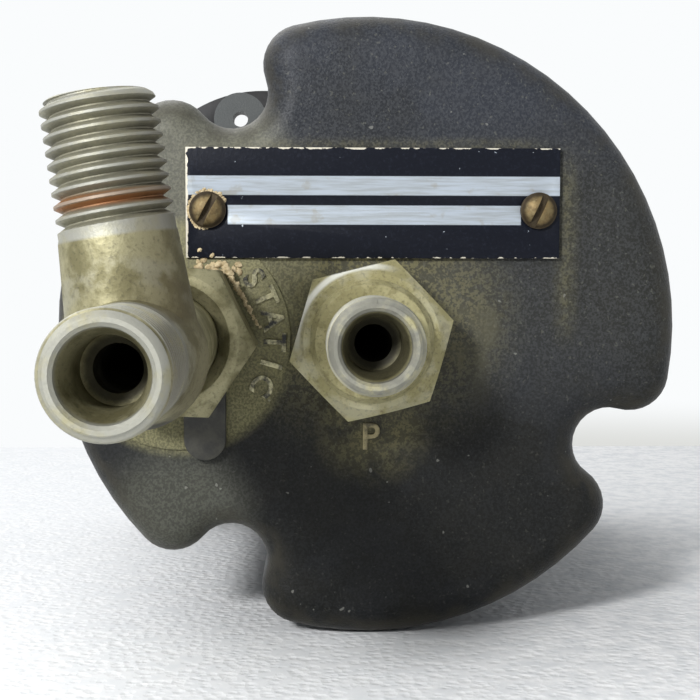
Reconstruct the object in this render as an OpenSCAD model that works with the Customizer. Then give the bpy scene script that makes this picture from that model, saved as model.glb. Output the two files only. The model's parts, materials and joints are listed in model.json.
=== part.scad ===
// Airspeed and Mach number indicator for an aircraft panel, with its pitot and static fittings.
// Everything is drawn on the bench: x to the right and y up as seen from the rear, z towards
// the rear, and z = 0 on the panel face of the bezel flange. upright() then lays the instrument
// down, so that z is up, the dial looks along +y and the fittings point along -y.

/* [Case] */
// Outside diameter of the moulded case
case_d = 78.6; // [76:0.2:82]
// Length of the case from the bezel joint to the rear face
case_len = 85; // [83:0.5:100]
// Thickness of the side wall
wall = 3; // [2:0.1:3.4]
// Thickness of the rear wall
rear_wall = 5; // [4:0.5:6]
// Rounding of the rear rim
edge_r = 4.2; // [2:0.1:4.5]
// Radius by which the front rim stands proud of the case
rim_lip = 0.6; // [0.3:0.1:1]

/* [Notches] */
// Angle of the upper left notch, seen from the rear
notch_a1 = 120; // [116:0.5:124]
// Angle of the lower left notch
notch_a2 = 239.5; // [235:0.5:244]
// Angle of the right notch
notch_a3 = 334.5; // [330:0.5:338]
// Depth of a notch below the case surface
notch_depth = 9.4; // [8:0.1:10]
// Radius of the notch bottom
notch_r = 4.6; // [4:0.1:5]
// Rounding where a notch meets the case surface
lip_r = 5; // [4.8:0.1:5.6]

/* [Mounting] */
// Diameter of the circle that the mounting holes lie on
mount_circle_d = 81.6; // [81:0.2:82.4]
// Tapping diameter of a mounting hole
mount_tap_d = 2.8; // [2.4:0.1:3.2]
// Clearance hole in the bezel flange for a mounting screw
mount_clear_d = 3.9; // [3.4:0.1:4.4]
// Radius of a lug
lug_r = 4.9; // [4:0.1:5.2]
// Thickness of the lugs
lug_t = 5; // [4:0.5:6]

/* [Bezel and glass] */
// Width of the bezel flange across its flats
bezel_w = 82.6; // [82:0.2:86]
// Corner radius of the bezel flange
bezel_corner_r = 25; // [20:0.5:27]
// Thickness of the bezel flange
flange_t = 4; // [3.5:0.5:5]
// Diameter of the round nose that passes through the panel
nose_d = 73; // [72.4:0.2:75]
// Length of the nose in front of the panel face
nose_len = 9; // [8.5:0.5:11]
// Wall of the nose around the glass
nose_wall = 1.8; // [1.5:0.1:2]
// Diameter of the opening that the dial is read through
view_d = 63; // [58:0.5:64]
// Thickness of the lip in front of the glass
view_lip_t = 1.6; // [1.2:0.1:2]
// Thickness of the glass gasket
gasket_t = 0.8; // [0.6:0.1:1]
// Thickness of the cover glass
glass_t = 2.5; // [2:0.1:3]
// Thickness of the retaining ring
retainer_t = 1.2; // [1:0.1:1.4]
// Depth of the retaining ring's groove
retainer_groove = 0.5; // [0.3:0.1:0.7]
// Diameter of the seal between bezel and case
case_seal_d = 1.4; // [1.2:0.1:1.5]
// Distance of the bezel screws outside the case surface
bezel_screw_gap = 3.2; // [2.8:0.1:3.6]
// Shank diameter of the bezel screws
bezel_screw_d = 2.6; // [2:0.1:3]

/* [Ports] */
// Distance from the pitot port to the static port
port_spacing = 23.8; // [22.5:0.1:24.4]
// Height of both ports above the case axis
port_y = -1; // [-2:0.1:1]
// Thread diameter of the ports and of the fitting ends
thread_d = 11.1; // [10.6:0.1:11.6]
// Bore of the fittings
bore_d = 4.4; // [4:0.1:5]
// Socket for the tube in a fitting end
socket_d = 6.4; // [6:0.1:6.8]
// Depth of that socket from the end face
socket_len = 8; // [7:0.5:9]
// Width of the open mouth of a fitting end
mouth_d = 8; // [7.4:0.1:8.4]
// Width across the flats of the fitting hexagons
hex_w = 17.5; // [16.5:0.1:18.5]
// Depth of the port threads below the rear face
port_len = 9; // [8:0.5:10]
// Diameter of the inner bosses around the ports
boss_d = 18; // [17:0.5:19]

/* [Pitot union] */
// Height of the hexagon above the rear face
pitot_hex_h = 8.5; // [7:0.5:10]
// Height of the open end above the rear face
pitot_len = 20; // [18:0.5:24]
// Turn of the hexagon
pitot_hex_turn = 14; // [0:1:59]

/* [Static tee] */
// Diameter of the moulded pad around the static port
pad_d = 28; // [27:0.2:29]
// Height of that pad
pad_h = 0.4; // [0.3:0.1:0.8]
// Thickness of the tab washer
washer_t = 1; // [0.8:0.1:1.4]
// Thickness of the lock nut
nut_t = 8; // [7:0.5:10]
// Turn of the lock nut
nut_turn = -4; // [-30:1:30]
// Height of the tee's crossing above the rear face
tee_h = 37; // [34:0.5:44]
// Length of the arm that points to the rear
tee_rear_arm = 20; // [18:0.5:26]
// Length of the arm that points up
tee_top_arm = 25; // [23:0.5:28]
// Lean of the upper arm to the left
tee_lean = 8; // [0:1:20]
// Length of thread on each arm
tee_thread = 13; // [10:0.5:14]
// Diameter of the tee's body
tee_body_d = 12.4; // [12:0.1:13]

/* [Name plate] */
// Width of the name plate
plate_w = 46.3; // [44:0.1:49]
// Height of the name plate
plate_h = 13.6; // [13:0.1:15]
// Thickness of the name plate
plate_t = 0.8; // [0.6:0.1:1.2]
// Height of the plate's middle above the case axis
plate_y = 15.7; // [15.4:0.1:16.2]
// Distance between the two plate screws
plate_screw_spacing = 40.9; // [38:0.1:43]
// Head diameter of the plate screws
plate_screw_head_d = 4.5; // [4:0.1:5]
// Shank diameter of the plate screws
plate_screw_d = 2.4; // [2:0.1:2.8]

/* [Dial and pointer] */
// Thickness of the airspeed dial
dial_t = 0.8; // [0.6:0.1:1]
// Diameter of the turning Mach dial
mach_dial_d = 38; // [34:0.5:42]
// Thickness of the Mach dial
mach_dial_t = 0.6; // [0.5:0.1:0.8]
// Reach of the pointer from the axis
pointer_len = 28; // [24:0.5:30]
// Length of the pointer's tail
pointer_tail = 9; // [6:0.5:12]
// Width of the pointer at the hub
pointer_w = 3.2; // [2.4:0.1:4]
// Thickness of the pointer
pointer_t = 0.6; // [0.4:0.1:0.8]

/* [Movement] */
// Thickness of the movement plates
mplate_t = 2.5; // [2:0.1:3]
// Distance between the movement plates
mplate_gap = 15.5; // [15:0.5:18]
// Diameter of the rear movement plate
rear_plate_d = 50; // [49:0.5:51]
// Gap all round the front movement plate in the case
mplate_gap_side = 0.5; // [0.3:0.1:0.8]
// Diameter of the pillars between the plates
pillar_d = 4.4; // [4:0.1:5]
// Sideways position of the pillars
pillar_x = 19; // [18.5:0.1:19.5]
// Upward position of the pillars
pillar_y = 8; // [7.5:0.1:8.2]
// Module of the gears
gear_m = 0.35; // [0.345:0.001:0.355]
// Thickness of the sector gears
sector_t = 1.4; // [1:0.1:1.6]
// Diameter of the pointer staff
staff_d = 1.5; // [1.3:0.1:1.7]
// Diameter of the sector and rocking shafts
pivot_d = 1.6; // [1.4:0.1:1.8]
// Radial play of a shaft in its bearing
play = 0.05; // [0.03:0.01:0.08]
// Wall of a pivot bush
bush_wall = 1.1; // [0.8:0.1:1.3]

/* [Capsules and rockers] */
// Diameter of the airspeed capsule
capsule_d = 42; // [38:0.5:44]
// Diameter of the aneroid capsule
aneroid_d = 22; // [20:0.5:22]
// Height of the aneroid's middle above the axis
aneroid_y = 13.5; // [13:0.1:14]
// Diameter of the push links
link_d = 2.4; // [2:0.1:2.8]
// Gap between a push link and its rocker at rest
link_gap = 0.45; // [0.4:0.05:0.5]
// Distance of the tail pin from the airspeed sector's shaft
tail_r = 8; // [7.8:0.1:8.2]
// Distance of the tail pin from the Mach sector's shaft
mach_tail_r = 5; // [4.9:0.1:5.2]
// Diameter of the tail pins
tail_pin_d = 1.2; // [1:0.1:1.3]
// Thickness of the rocker arms and fingers
arm_t = 1.2; // [1:0.1:1.3]
// Thickness of the bracket sheet
sheet_t = 1.2; // [1:0.1:1.5]

/* [Hidden] */
$fn = 64;
case_r = case_d / 2;
notch_angles = [notch_a1, notch_a2, notch_a3];
notch_at = case_r - notch_depth + notch_r;
lip_at = case_r - lip_r;
lip_turn = acos((notch_at * notch_at + lip_at * lip_at - pow(notch_r + lip_r, 2))
    / (2 * notch_at * lip_at));
lip_end = atan2(lip_at * sin(lip_turn), notch_at - lip_at * cos(lip_turn));
mount_at = mount_circle_d / 2;
corner_angles = [45, 135, 225, 315];
boss_angles = [60, 180, 287];
bezel_screw_at = case_r + bezel_screw_gap;
ear_r = 3.8;
ear_neck = 3.3;
lug_neck = lug_r - 0.7;
flange_ear_r = lug_r - 0.6;
notch_in = case_r - notch_depth - wall;
pad_margin = 0.4;

// stations along the axis, counted from the panel face towards the rear
z_joint = flange_t;
z_lug = z_joint + lug_t;
z_rear = z_joint + case_len;
z_floor = z_rear - rear_wall;
z_gasket = -nose_len + view_lip_t;
z_glass = z_gasket + gasket_t;
z_retainer = z_glass + glass_t;
z_dial = z_joint - 1;
z_mach_dial = z_dial - 0.8 - mach_dial_t;
z_pointer = -0.9;
z_front_plate = z_joint + 4;
z_front_back = z_front_plate + mplate_t;
z_mach_gear = z_front_back + 1.7;
z_sector = z_front_back + 7.9;
z_spring = z_front_back + 11.9;
z_rear_plate = z_front_back + mplate_gap;
z_rear_back = z_rear_plate + mplate_t;
z_boss = z_floor - port_len;

// the depth between the movement and the rear wall is shared out in even steps
step = (z_boss - z_rear_back) / 93;
z_finger = z_rear_back + 9 * step;
tail_end = z_rear_back + 19 * step;
z_mach_rocker = z_rear_back + 23 * step;
z_rocker = z_rear_back + 43 * step;
z_bridge = z_rear_back + 52 * step;
z_capsule = z_rear_back + 74 * step;

bore_r = nose_d / 2 - nose_wall;
seal_at = case_r - wall + 1.75;
boss_at = case_r - wall - 3.5;
seat_clear = 0.05;
screw_clear = 0.05;
staff_r = staff_d / 2;
pivot_r = pivot_d / 2;
cannon_r = staff_r + 0.95;
cannon_bore = staff_r + play;
bush_r = pivot_r + play + bush_wall;
cannon_bush_r = cannon_r + play + bush_wall;

pressure_angle = 20;
tooth_add = 0.7;
tooth_ded = 1;
tooth_slack = 0.12;
pinion_n = 12;
sector_n = 84;
mach_gear_n = 24;
mach_sector_n = 96;
sector_y = -gear_m * (pinion_n + sector_n) / 2;
mach_sector_y = gear_m * (mach_gear_n + mach_sector_n) / 2;
pointer_sweep = 300;
mach_sweep = 120;
sector_sweep = pointer_sweep * pinion_n / sector_n;
mach_sector_sweep = mach_sweep * mach_gear_n / mach_sector_n;

rocker_y = -7;
bracket_ear = 13.5;
ear_half = pivot_r + 2;
finger_gap = 0.3;
tail_x = tail_r * cos(sector_sweep / 2);
tail_y = sector_y + tail_r * sin(sector_sweep / 2);
mach_tail_x = mach_tail_r * cos(mach_sector_sweep / 2);
mach_tail_y = mach_sector_y - mach_tail_r * sin(mach_sector_sweep / 2);
finger_y = tail_y + tail_pin_d / 2 + arm_t / 2 + finger_gap;
mach_finger_y = mach_tail_y - tail_pin_d / 2 - arm_t / 2 - finger_gap;
finger_lean = 0.7;
mach_rocker_y = mach_finger_y - finger_lean;
mach_ear_gap = 1.2;
post_x = 18.5;
post_r = 2;
post_gap = 0.7;
// the ears of the upper bracket stand clear of the bridge posts and of the notches, whichever is nearer
ear_to_notch = sqrt(pow(notch_in - mach_ear_gap, 2) - pow(mach_rocker_y + ear_half, 2));
mach_bracket_ear = min(ear_to_notch, post_x - post_r - post_gap) - sheet_t;
dial_post_x = 25;
plate_x = 0.5;
nose_round = 1;

// shared curves and shapes come first, then one module for each piece

function polar(r, a) = [r * cos(a), r * sin(a)];

function arc(c, r, a0, a1, n, first) =
    [for (i = [first : n]) c + polar(r, a0 + (a1 - a0) * i / n)];

// outline of one notch, set in from the case surface by inset
function notch_outline(a, inset) = concat(
    arc(polar(lip_at, a - lip_turn), lip_r - inset, a - lip_turn, a + lip_end, 8, 0),
    arc(polar(notch_at, a), notch_r + inset, a + lip_end + 180, a + 180 - lip_end, 12, 1),
    arc(polar(lip_at, a + lip_turn), lip_r - inset, a - lip_end, a + lip_turn, 8, 1));

// round part of the outline between two notches
function span_outline(a0, a1, inset) =
    let (steps = ceil((a1 - a0) / 5))
    [for (i = [1 : steps - 1]) polar(case_r - inset, a0 + (a1 - a0) * i / steps)];

// whole case outline, set in from the case surface by inset
function case_outline(inset) = concat(
    notch_outline(notch_a1, inset),
    span_outline(notch_a1 + lip_turn, notch_a2 - lip_turn, inset),
    notch_outline(notch_a2, inset),
    span_outline(notch_a2 + lip_turn, notch_a3 - lip_turn, inset),
    notch_outline(notch_a3, inset),
    span_outline(notch_a3 + lip_turn, notch_a1 + 360 - lip_turn, inset));

// half the angle that a gear tooth covers at radius r
function tooth_half(rp, n, r) =
    let (rb = rp * cos(pressure_angle), pa = acos(min(1, rb / max(r, rb))))
    90 / n * (1 - tooth_slack) + (tan(pressure_angle) - tan(pa)) * 180 / PI - pressure_angle + pa;

// one gear tooth, middle at angle a
function tooth(n, a) =
    let (
        rp = gear_m * n / 2,
        radii = [rp - tooth_ded * gear_m, rp * cos(pressure_angle), rp - 0.1 * gear_m,
            rp + 0.3 * gear_m, rp + tooth_add * gear_m],
        flank = [for (r = radii) if (r >= radii[0]) r],
        last = len(flank) - 1)
    concat(
        [for (i = [0 : last]) polar(flank[i], a - tooth_half(rp, n, flank[i]))],
        [for (i = [0 : last]) polar(flank[last - i], a + tooth_half(rp, n, flank[last - i]))]);

function teeth(n, first, last, a) =
    [for (i = [first : last]) each tooth(n, a + i * 360 / n)];

// band between two radii and two angles
function band(r0, r1, a0, a1, n) =
    concat(arc([0, 0], r1, a0, a1, n, 0), arc([0, 0], r0, a1, a0, n, 0));

// half section of a corrugated capsule
function capsule_half(r, rim, bulge, ridge, waves, side) =
    [for (i = [0 : waves * 6])
        let (q = i / (waves * 6))
        [r * q, side * (rim + bulge * (1 - q * q) + ridge * (1 - q) * sin(360 * waves * q))]];

function capsule_section(r, rim, bulge, ridge, waves) =
    let (top = capsule_half(r, rim, bulge, ridge, waves, 1), last = len(top) - 1)
    concat(capsule_half(r, rim, bulge, ridge, waves, -1), [for (i = [0 : last]) top[last - i]]);

// flat spiral strip
function spiral(r0, r1, turns, t, step) =
    let (n = turns * 360 / step)
    concat(
        [for (i = [0 : n]) polar(r0 + (r1 - r0) * i / n + t / 2, i * step)],
        [for (i = [0 : n]) polar(r1 - (r1 - r0) * i / n - t / 2, (n - i) * step)]);

module upright() {
    rotate([90, 0, 0]) children();
}

module at(r, a) {
    translate([r * cos(a), r * sin(a), 0]) children();
}

module disc(r, z, h) {
    translate([0, 0, z]) cylinder(r = r, h = h);
}

module ring(r_out, r_in, z, h) {
    translate([0, 0, z]) difference() {
        cylinder(r = r_out, h = h);
        translate([0, 0, -1]) cylinder(r = r_in, h = h + 2);
    }
}

module box(x0, x1, y0, y1, z0, z1) {
    translate([x0, y0, z0]) cube([x1 - x0, y1 - y0, z1 - z0]);
}

// screw pointing along +z, head below z = 0
module cheese_screw(head_r, head_h, shank_r, shank_len, slot_turn) {
    difference() {
        union() {
            disc(head_r, -head_h, head_h);
            disc(shank_r, -0.2, shank_len + 0.2);
        }
        rotate([0, 0, slot_turn])
            box(-head_r - 1, head_r + 1, -head_r * 0.16, head_r * 0.16, -head_h - 1, -head_h * 0.5);
    }
}

// male fitting end: thread, thread relief and chamfered nose, from z = 0 up to len
module fitting_end(len, thread_len) {
    rotate_extrude() polygon([
        [0, 0], [thread_d / 2 - 0.7, 0], [thread_d / 2 - 0.7, len - thread_len - 0.6],
        [thread_d / 2, len - thread_len], [thread_d / 2, len - nose_round],
        [thread_d / 2 - 0.3, len - 0.35], [thread_d / 2 - 0.8, len], [0, len]]);
}

// hollow of a fitting end: mouth cone, tube socket and bore, from z = 0 up to len
module fitting_bore(len, bore) {
    rotate_extrude() polygon([
        [0, 0], [bore / 2, 0], [bore / 2, len - socket_len - 0.6],
        [socket_d / 2, len - socket_len], [socket_d / 2, len - 3.5],
        [mouth_d / 2, len - 0.3], [mouth_d / 2 + 0.35, len], [mouth_d / 2 + 0.35, len + 1], [0, len + 1]]);
}

module hexagon(h) {
    intersection() {
        cylinder(d = hex_w / cos(30), h = h, $fn = 6);
        rotate_extrude() polygon([
            [0, 0], [hex_w * 0.6, 0], [hex_w * 0.6, h - 1.7], [hex_w * 0.465, h], [0, h]]);
    }
}

// rounded body of the case, closed at both ends
module case_body() {
    steps = 7;
    insets = concat([0], [for (i = [0 : steps]) edge_r * (1 - cos(90 * i / steps))]);
    heights = concat([z_joint + 2],
        [for (i = [0 : steps]) z_rear - edge_r + edge_r * sin(90 * i / steps)]);
    n = len(case_outline(0));
    rows = len(insets);
    walls = [for (k = [0 : rows - 1]) each [for (p = case_outline(insets[k])) [p[0], p[1], heights[k]]]];
    points = concat(walls, [[0, 0, heights[0]], [0, 0, heights[rows - 1]]]);
    sides = [for (k = [0 : rows - 2]) each [for (i = [0 : n - 1])
        [k * n + i, (k + 1) * n + i, (k + 1) * n + (i + 1) % n, k * n + (i + 1) % n]]];
    top = (rows - 1) * n;
    front = [for (i = [0 : n - 1]) [i, (i + 1) % n, rows * n]];
    back = [for (i = [0 : n - 1]) [top + (i + 1) % n, top + i, rows * n + 1]];
    polyhedron(points = points, faces = concat(front, sides, back));
}

// round end at radius r, joined to the rim by a neck
module arm_outline(a, r, end_r, neck) {
    at(r, a) circle(end_r);
    rotate(a) translate([case_r - wall / 2, -neck]) square([r - case_r + wall / 2, 2 * neck]);
}

// outline of the front rim with its lugs and its screw ears
module rim_outline() {
    circle(case_r + rim_lip);
    for (a = notch_angles) arm_outline(a, mount_at, lug_r, lug_neck);
    for (a = corner_angles) arm_outline(a, bezel_screw_at, ear_r, ear_neck);
}

module case_rim() {
    translate([0, 0, z_joint]) linear_extrude(lug_t) rim_outline();
}

module case() {
    color([0.17, 0.175, 0.18]) difference() {
        union() {
            difference() {
                union() {
                    case_body();
                    case_rim();
                }
                translate([0, 0, z_joint - 1])
                    linear_extrude(z_floor - z_joint + 1) polygon(case_outline(wall));
            }
            for (a = boss_angles) at(boss_at, a) disc(4.2, z_front_back, 12);
            for (x = [0, -port_spacing]) translate([x, port_y, 0])
                disc(boss_d / 2, z_boss, z_rear - z_boss - 1);
            intersection() {
                translate([-port_spacing, port_y, 0]) disc(pad_d / 2, z_rear - 1, pad_h + 1);
                disc(case_r - edge_r - pad_margin, z_rear - 2, pad_h + 4);
                box(-case_r, 0, -case_r, plate_y - plate_h / 2 - 0.2, z_rear - 3, z_rear + 3);
            }
        }
        for (a = notch_angles) at(mount_at, a) disc(mount_tap_d / 2, z_joint - 1, lug_t + 2);
        for (a = corner_angles) at(bezel_screw_at, a)
            disc(bezel_screw_d / 2 + screw_clear, z_joint - 1, lug_t + 2);
        for (a = boss_angles) at(boss_at, a) disc(1.1 + screw_clear, z_front_back - 1, 9);
        ring(seal_at + case_seal_d / 2 + 0.1, seal_at - case_seal_d / 2 - 0.1, z_joint - 1, case_seal_d + 1);
        translate([0, port_y, 0]) {
            disc(thread_d / 2 + seat_clear, z_rear - port_len, port_len + 2);
            disc(3.5 + seat_clear, z_boss - 1, z_rear - z_boss);
        }
        translate([-port_spacing, port_y, 0]) disc(thread_d / 2 + seat_clear, z_boss - 1, z_rear - z_boss + 4);
        for (s = [-1, 1]) translate([plate_x + s * plate_screw_spacing / 2, plate_y - 0.9, 0])
            disc(plate_screw_d / 2 + screw_clear, z_rear - 4, 6);
    }
}

module flange_outline() {
    half = bezel_w / 2 - bezel_corner_r;
    square([bezel_w, 2 * half], center = true);
    square([2 * half, bezel_w], center = true);
    for (x = [-half, half], y = [-half, half]) translate([x, y]) circle(bezel_corner_r);
    for (a = notch_angles) at(mount_at, a) circle(flange_ear_r);
    for (a = corner_angles) at(bezel_screw_at, a) circle(ear_r);
}

module bezel() {
    color([0.06, 0.06, 0.065]) difference() {
        union() {
            linear_extrude(flange_t) flange_outline();
            rotate_extrude() polygon([
                [0, 0.5], [nose_d / 2, 0.5], [nose_d / 2, -nose_len + 1.2],
                [nose_d / 2 - 1.2, -nose_len], [0, -nose_len]]);
        }
        disc(view_d / 2, -nose_len - 1, nose_len + flange_t + 2);
        disc(bore_r, z_gasket, flange_t - z_gasket + 1);
        disc(bore_r + retainer_groove, z_retainer, retainer_t);
        for (a = notch_angles) at(mount_at, a) disc(mount_clear_d / 2, -1, flange_t + 2);
        for (a = corner_angles) at(bezel_screw_at, a) {
            disc(bezel_screw_d / 2 + 0.1, -1, flange_t + 2);
            translate([0, 0, -0.01]) cylinder(r1 = bezel_screw_d + 0.1, r2 = bezel_screw_d / 2 + 0.1,
                h = bezel_screw_d / 2);
        }
    }
}

module cover_glass() {
    color([0.85, 0.92, 0.95, 0.3]) disc(bore_r - seat_clear, z_glass, glass_t);
}

module glass_gasket() {
    color([0.08, 0.08, 0.08]) ring(bore_r - seat_clear, view_d / 2 + 0.4, z_gasket, gasket_t);
}

module glass_retainer() {
    color([0.3, 0.3, 0.3]) difference() {
        ring(bore_r + retainer_groove - seat_clear, bore_r - 2, z_retainer, retainer_t);
        box(-3, 3, -bore_r - 2, 0, z_retainer - 1, z_retainer + retainer_t + 1);
    }
}

module case_seal() {
    color([0.05, 0.05, 0.05]) translate([0, 0, z_joint + case_seal_d / 2])
        rotate_extrude() translate([seal_at, 0]) circle(d = case_seal_d, $fn = 24);
}

module bezel_screws() {
    color([0.2, 0.2, 0.2]) for (a = corner_angles) at(bezel_screw_at, a) difference() {
        union() {
            cylinder(r1 = bezel_screw_d, r2 = bezel_screw_d / 2, h = bezel_screw_d / 2);
            disc(bezel_screw_d / 2, 0.1, z_lug - 0.6);
        }
        rotate([0, 0, a + 30]) box(-5, 5, -0.35, 0.35, -1, 0.7);
    }
}

module name_plate() {
    color([0.08, 0.08, 0.09]) difference() {
        translate([plate_x - plate_w / 2, plate_y - plate_h / 2, z_rear]) cube([plate_w, plate_h, plate_t]);
        for (s = [-1, 1]) translate([plate_x + s * plate_screw_spacing / 2, plate_y - 0.9, 0])
            disc(plate_screw_d / 2 + 0.15, z_rear - 1, plate_t + 2);
    }
}

// round head with a slot, sitting on the name plate
module plate_screw(slot_turn) {
    head_r = plate_screw_head_d / 2;
    dome_r = 2.6 * head_r / 2;
    rise = dome_r - sqrt(dome_r * dome_r - head_r * head_r);
    difference() {
        union() {
            translate([0, 0, 0.5]) intersection() {
                disc(head_r, 0, 4);
                translate([0, 0, rise - dome_r]) sphere(dome_r);
            }
            disc(head_r, 0, 0.6);
            disc(plate_screw_d / 2, -plate_t - 3, plate_t + 3.3);
        }
        rotate([0, 0, slot_turn]) box(-5, 5, -0.4, 0.4, 0.7, 5);
    }
}

module name_plate_screws() {
    color([0.66, 0.53, 0.3]) for (s = [-1, 1])
        translate([plate_x + s * plate_screw_spacing / 2, plate_y - 0.9, z_rear + plate_t])
            plate_screw(s < 0 ? 62 : 65);
}

module pitot_union() {
    color([0.52, 0.5, 0.4]) translate([0, port_y, z_rear]) difference() {
        union() {
            rotate([0, 0, pitot_hex_turn]) hexagon(pitot_hex_h);
            rotate_extrude() polygon([
                [0, pitot_hex_h - 0.5], [hex_w * 0.42, pitot_hex_h - 0.5], [hex_w * 0.42, pitot_hex_h + 0.5],
                [hex_w * 0.385, pitot_hex_h + 1.4], [0, pitot_hex_h + 1.4]]);
            translate([0, 0, pitot_hex_h]) fitting_end(pitot_len - pitot_hex_h, pitot_len - pitot_hex_h - 3);
            disc(thread_d / 2, -port_len + 0.3, port_len);
        }
        ring(thread_d / 2 + 1, thread_d / 2 - 1.1, -1.2, 1.2);
        translate([0, 0, -port_len]) fitting_bore(port_len + pitot_len, bore_d);
    }
}

module pitot_seal() {
    color([0.05, 0.05, 0.05]) translate([0, port_y, z_rear])
        ring(thread_d / 2, thread_d / 2 - 1.1, -1.2, 1.2);
}

// solid of the tee's run, turned about the port's axis
module tee_run() {
    t = thread_d / 2;
    b = tee_body_d / 2;
    tip = tee_h + tee_rear_arm;
    start = tip - tee_thread;
    rotate_extrude() polygon([
        [0, 0.3 - port_len], [t, 0.3 - port_len], [t, tee_h - 13.5], [b, tee_h - 12.4], [b, tee_h - 6],
        [b + 0.6, tee_h - 1], [b + 0.6, tee_h + 1], [b, tee_h + 3], [t + 0.1, start - 0.4],
        [t, start], [t, tip - nose_round], [t - 0.3, tip - 0.35], [t - 0.8, tip], [0, tip]]);
}

// solid of the tee's upper arm, from the port's axis outwards
module tee_top() {
    t = thread_d / 2;
    start = tee_top_arm - tee_thread;
    rotate_extrude() polygon([
        [0, 0], [tee_body_d / 2 + 0.2, 0], [t + 0.1, start - 0.4], [t, start], [t, tee_top_arm - nose_round],
        [t - 0.3, tee_top_arm - 0.35], [t - 0.8, tee_top_arm], [0, tee_top_arm]]);
}

module static_tee() {
    color([0.52, 0.5, 0.4]) translate([-port_spacing, port_y, z_rear]) difference() {
        union() {
            tee_run();
            translate([0, 0, tee_h]) rotate([-90, 0, tee_lean]) tee_top();
        }
        translate([0, 0, -port_len]) fitting_bore(port_len + tee_h + tee_rear_arm, bore_d);
        translate([0, 0, tee_h]) rotate([-90, 0, tee_lean]) fitting_bore(tee_top_arm, bore_d - 0.3);
    }
}

module static_lock_nut() {
    color([0.52, 0.5, 0.4]) translate([-port_spacing, port_y, z_rear + pad_h + washer_t]) difference() {
        rotate([0, 0, nut_turn]) hexagon(nut_t);
        disc(thread_d / 2 + seat_clear, -1, nut_t + 2);
        translate([0, 0, nut_t - 1.8]) cylinder(r1 = thread_d / 2 + seat_clear, r2 = thread_d / 2 + 1.6, h = 1.9);
    }
}

module static_tab_washer() {
    color([0.3, 0.31, 0.29]) translate([-port_spacing, port_y, z_rear + pad_h]) difference() {
        union() {
            disc(hex_w / 2 - 0.3, 0, washer_t);
            box(0.8, 6, -12.6, 0, 0, washer_t);
            translate([3.4, -12.6, 0]) intersection() {
                disc(2.6, 0, washer_t);
                box(-2.6, 2.6, -2.6, 0.5, 0, washer_t);
            }
        }
        disc(thread_d / 2 + 1.1, -1, washer_t + 2);
    }
}

module static_seal() {
    color([0.05, 0.05, 0.05]) translate([-port_spacing, port_y, z_rear + pad_h])
        ring(thread_d / 2 + 1.1, thread_d / 2, 0, washer_t);
}

module airspeed_dial() {
    color([0.03, 0.03, 0.03]) difference() {
        disc(bore_r - 0.4, z_dial, dial_t);
        disc(cannon_r + 2.2, z_dial - 1, dial_t + 2);
        for (x = [-dial_post_x, dial_post_x]) translate([x, 0, 0]) disc(0.9, z_dial - 1, dial_t + 2);
    }
}

module dial_posts() {
    color([0.6, 0.55, 0.4]) for (x = [-dial_post_x, dial_post_x]) translate([x, 0, 0])
        ring(1.8, 0.8 + screw_clear, z_dial + dial_t, z_front_plate - z_dial - dial_t);
}

module dial_screws() {
    color([0.05, 0.05, 0.05]) for (x = [-dial_post_x, dial_post_x])
        translate([x, 0, z_dial]) cheese_screw(1.5, 0.8, 0.8, dial_t + 3, x > 0 ? 20 : 70);
}

module mach_dial() {
    color([0.05, 0.05, 0.05]) ring(mach_dial_d / 2, cannon_r + seat_clear, z_mach_dial, mach_dial_t);
}

module mach_cannon() {
    color([0.7, 0.6, 0.35]) difference() {
        union() {
            disc(cannon_r, z_mach_dial - 0.5, z_mach_gear + 2 - z_mach_dial);
            disc(cannon_r + 1.5, z_mach_dial + mach_dial_t, 0.7);
            translate([0, 0, z_mach_gear]) linear_extrude(1.6)
                polygon(teeth(mach_gear_n, 0, mach_gear_n - 1, 180 / mach_gear_n));
        }
        disc(cannon_bore, z_mach_dial - 2, z_mach_gear + 6);
    }
}

module airspeed_pointer() {
    color([0.9, 0.9, 0.88]) difference() {
        union() {
            translate([0, 0, z_pointer]) linear_extrude(pointer_t) polygon([
                [-pointer_w / 2, 0], [-pointer_w * 0.35, -pointer_tail], [pointer_w * 0.35, -pointer_tail],
                [pointer_w / 2, 0], [pointer_w * 0.3, pointer_len - 6], [0.15, pointer_len],
                [-0.15, pointer_len], [-pointer_w * 0.3, pointer_len - 6]]);
            disc(2.6, z_pointer - 0.5, 1.6);
        }
        disc(staff_r, z_pointer - 2, 4);
    }
}

module pointer_staff() {
    color([0.75, 0.75, 0.75]) {
        disc(staff_r, z_pointer - 0.7, z_rear_back - 0.3 - z_pointer + 0.7);
        translate([0, 0, z_sector - 1]) linear_extrude(sector_t + 2)
            polygon(teeth(pinion_n, 0, pinion_n - 1, 180 / pinion_n));
    }
}

module hairspring() {
    color([0.25, 0.35, 0.55]) translate([0, 0, z_spring])
        linear_extrude(0.8) polygon(spiral(2.1, 7, 4, 0.25, 15));
}

module hairspring_collet() {
    color([0.7, 0.6, 0.35]) ring(1.75, staff_r, z_spring - 0.4, 1.6);
}

module hairspring_stud() {
    color([0.7, 0.6, 0.35]) translate([7 + 0.125 + 0.8, 0, 0])
        disc(0.8, z_spring, z_rear_plate - z_spring);
}

module front_plate() {
    color([0.72, 0.68, 0.5]) difference() {
        translate([0, 0, z_front_plate]) linear_extrude(mplate_t)
            polygon(case_outline(wall + mplate_gap_side));
        disc(cannon_bush_r, z_front_plate - 1, mplate_t + 2);
        for (y = [sector_y, mach_sector_y]) translate([0, y, 0]) disc(bush_r, z_front_plate - 1, mplate_t + 2);
        for (a = boss_angles) at(boss_at, a) disc(1.3, z_front_plate - 1, mplate_t + 2);
        for (x = [-pillar_x, pillar_x], y = [-pillar_y, pillar_y]) translate([x, y, 0])
            disc(pillar_d * 0.3, z_front_plate - 1, mplate_t + 2);
    }
}

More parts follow.
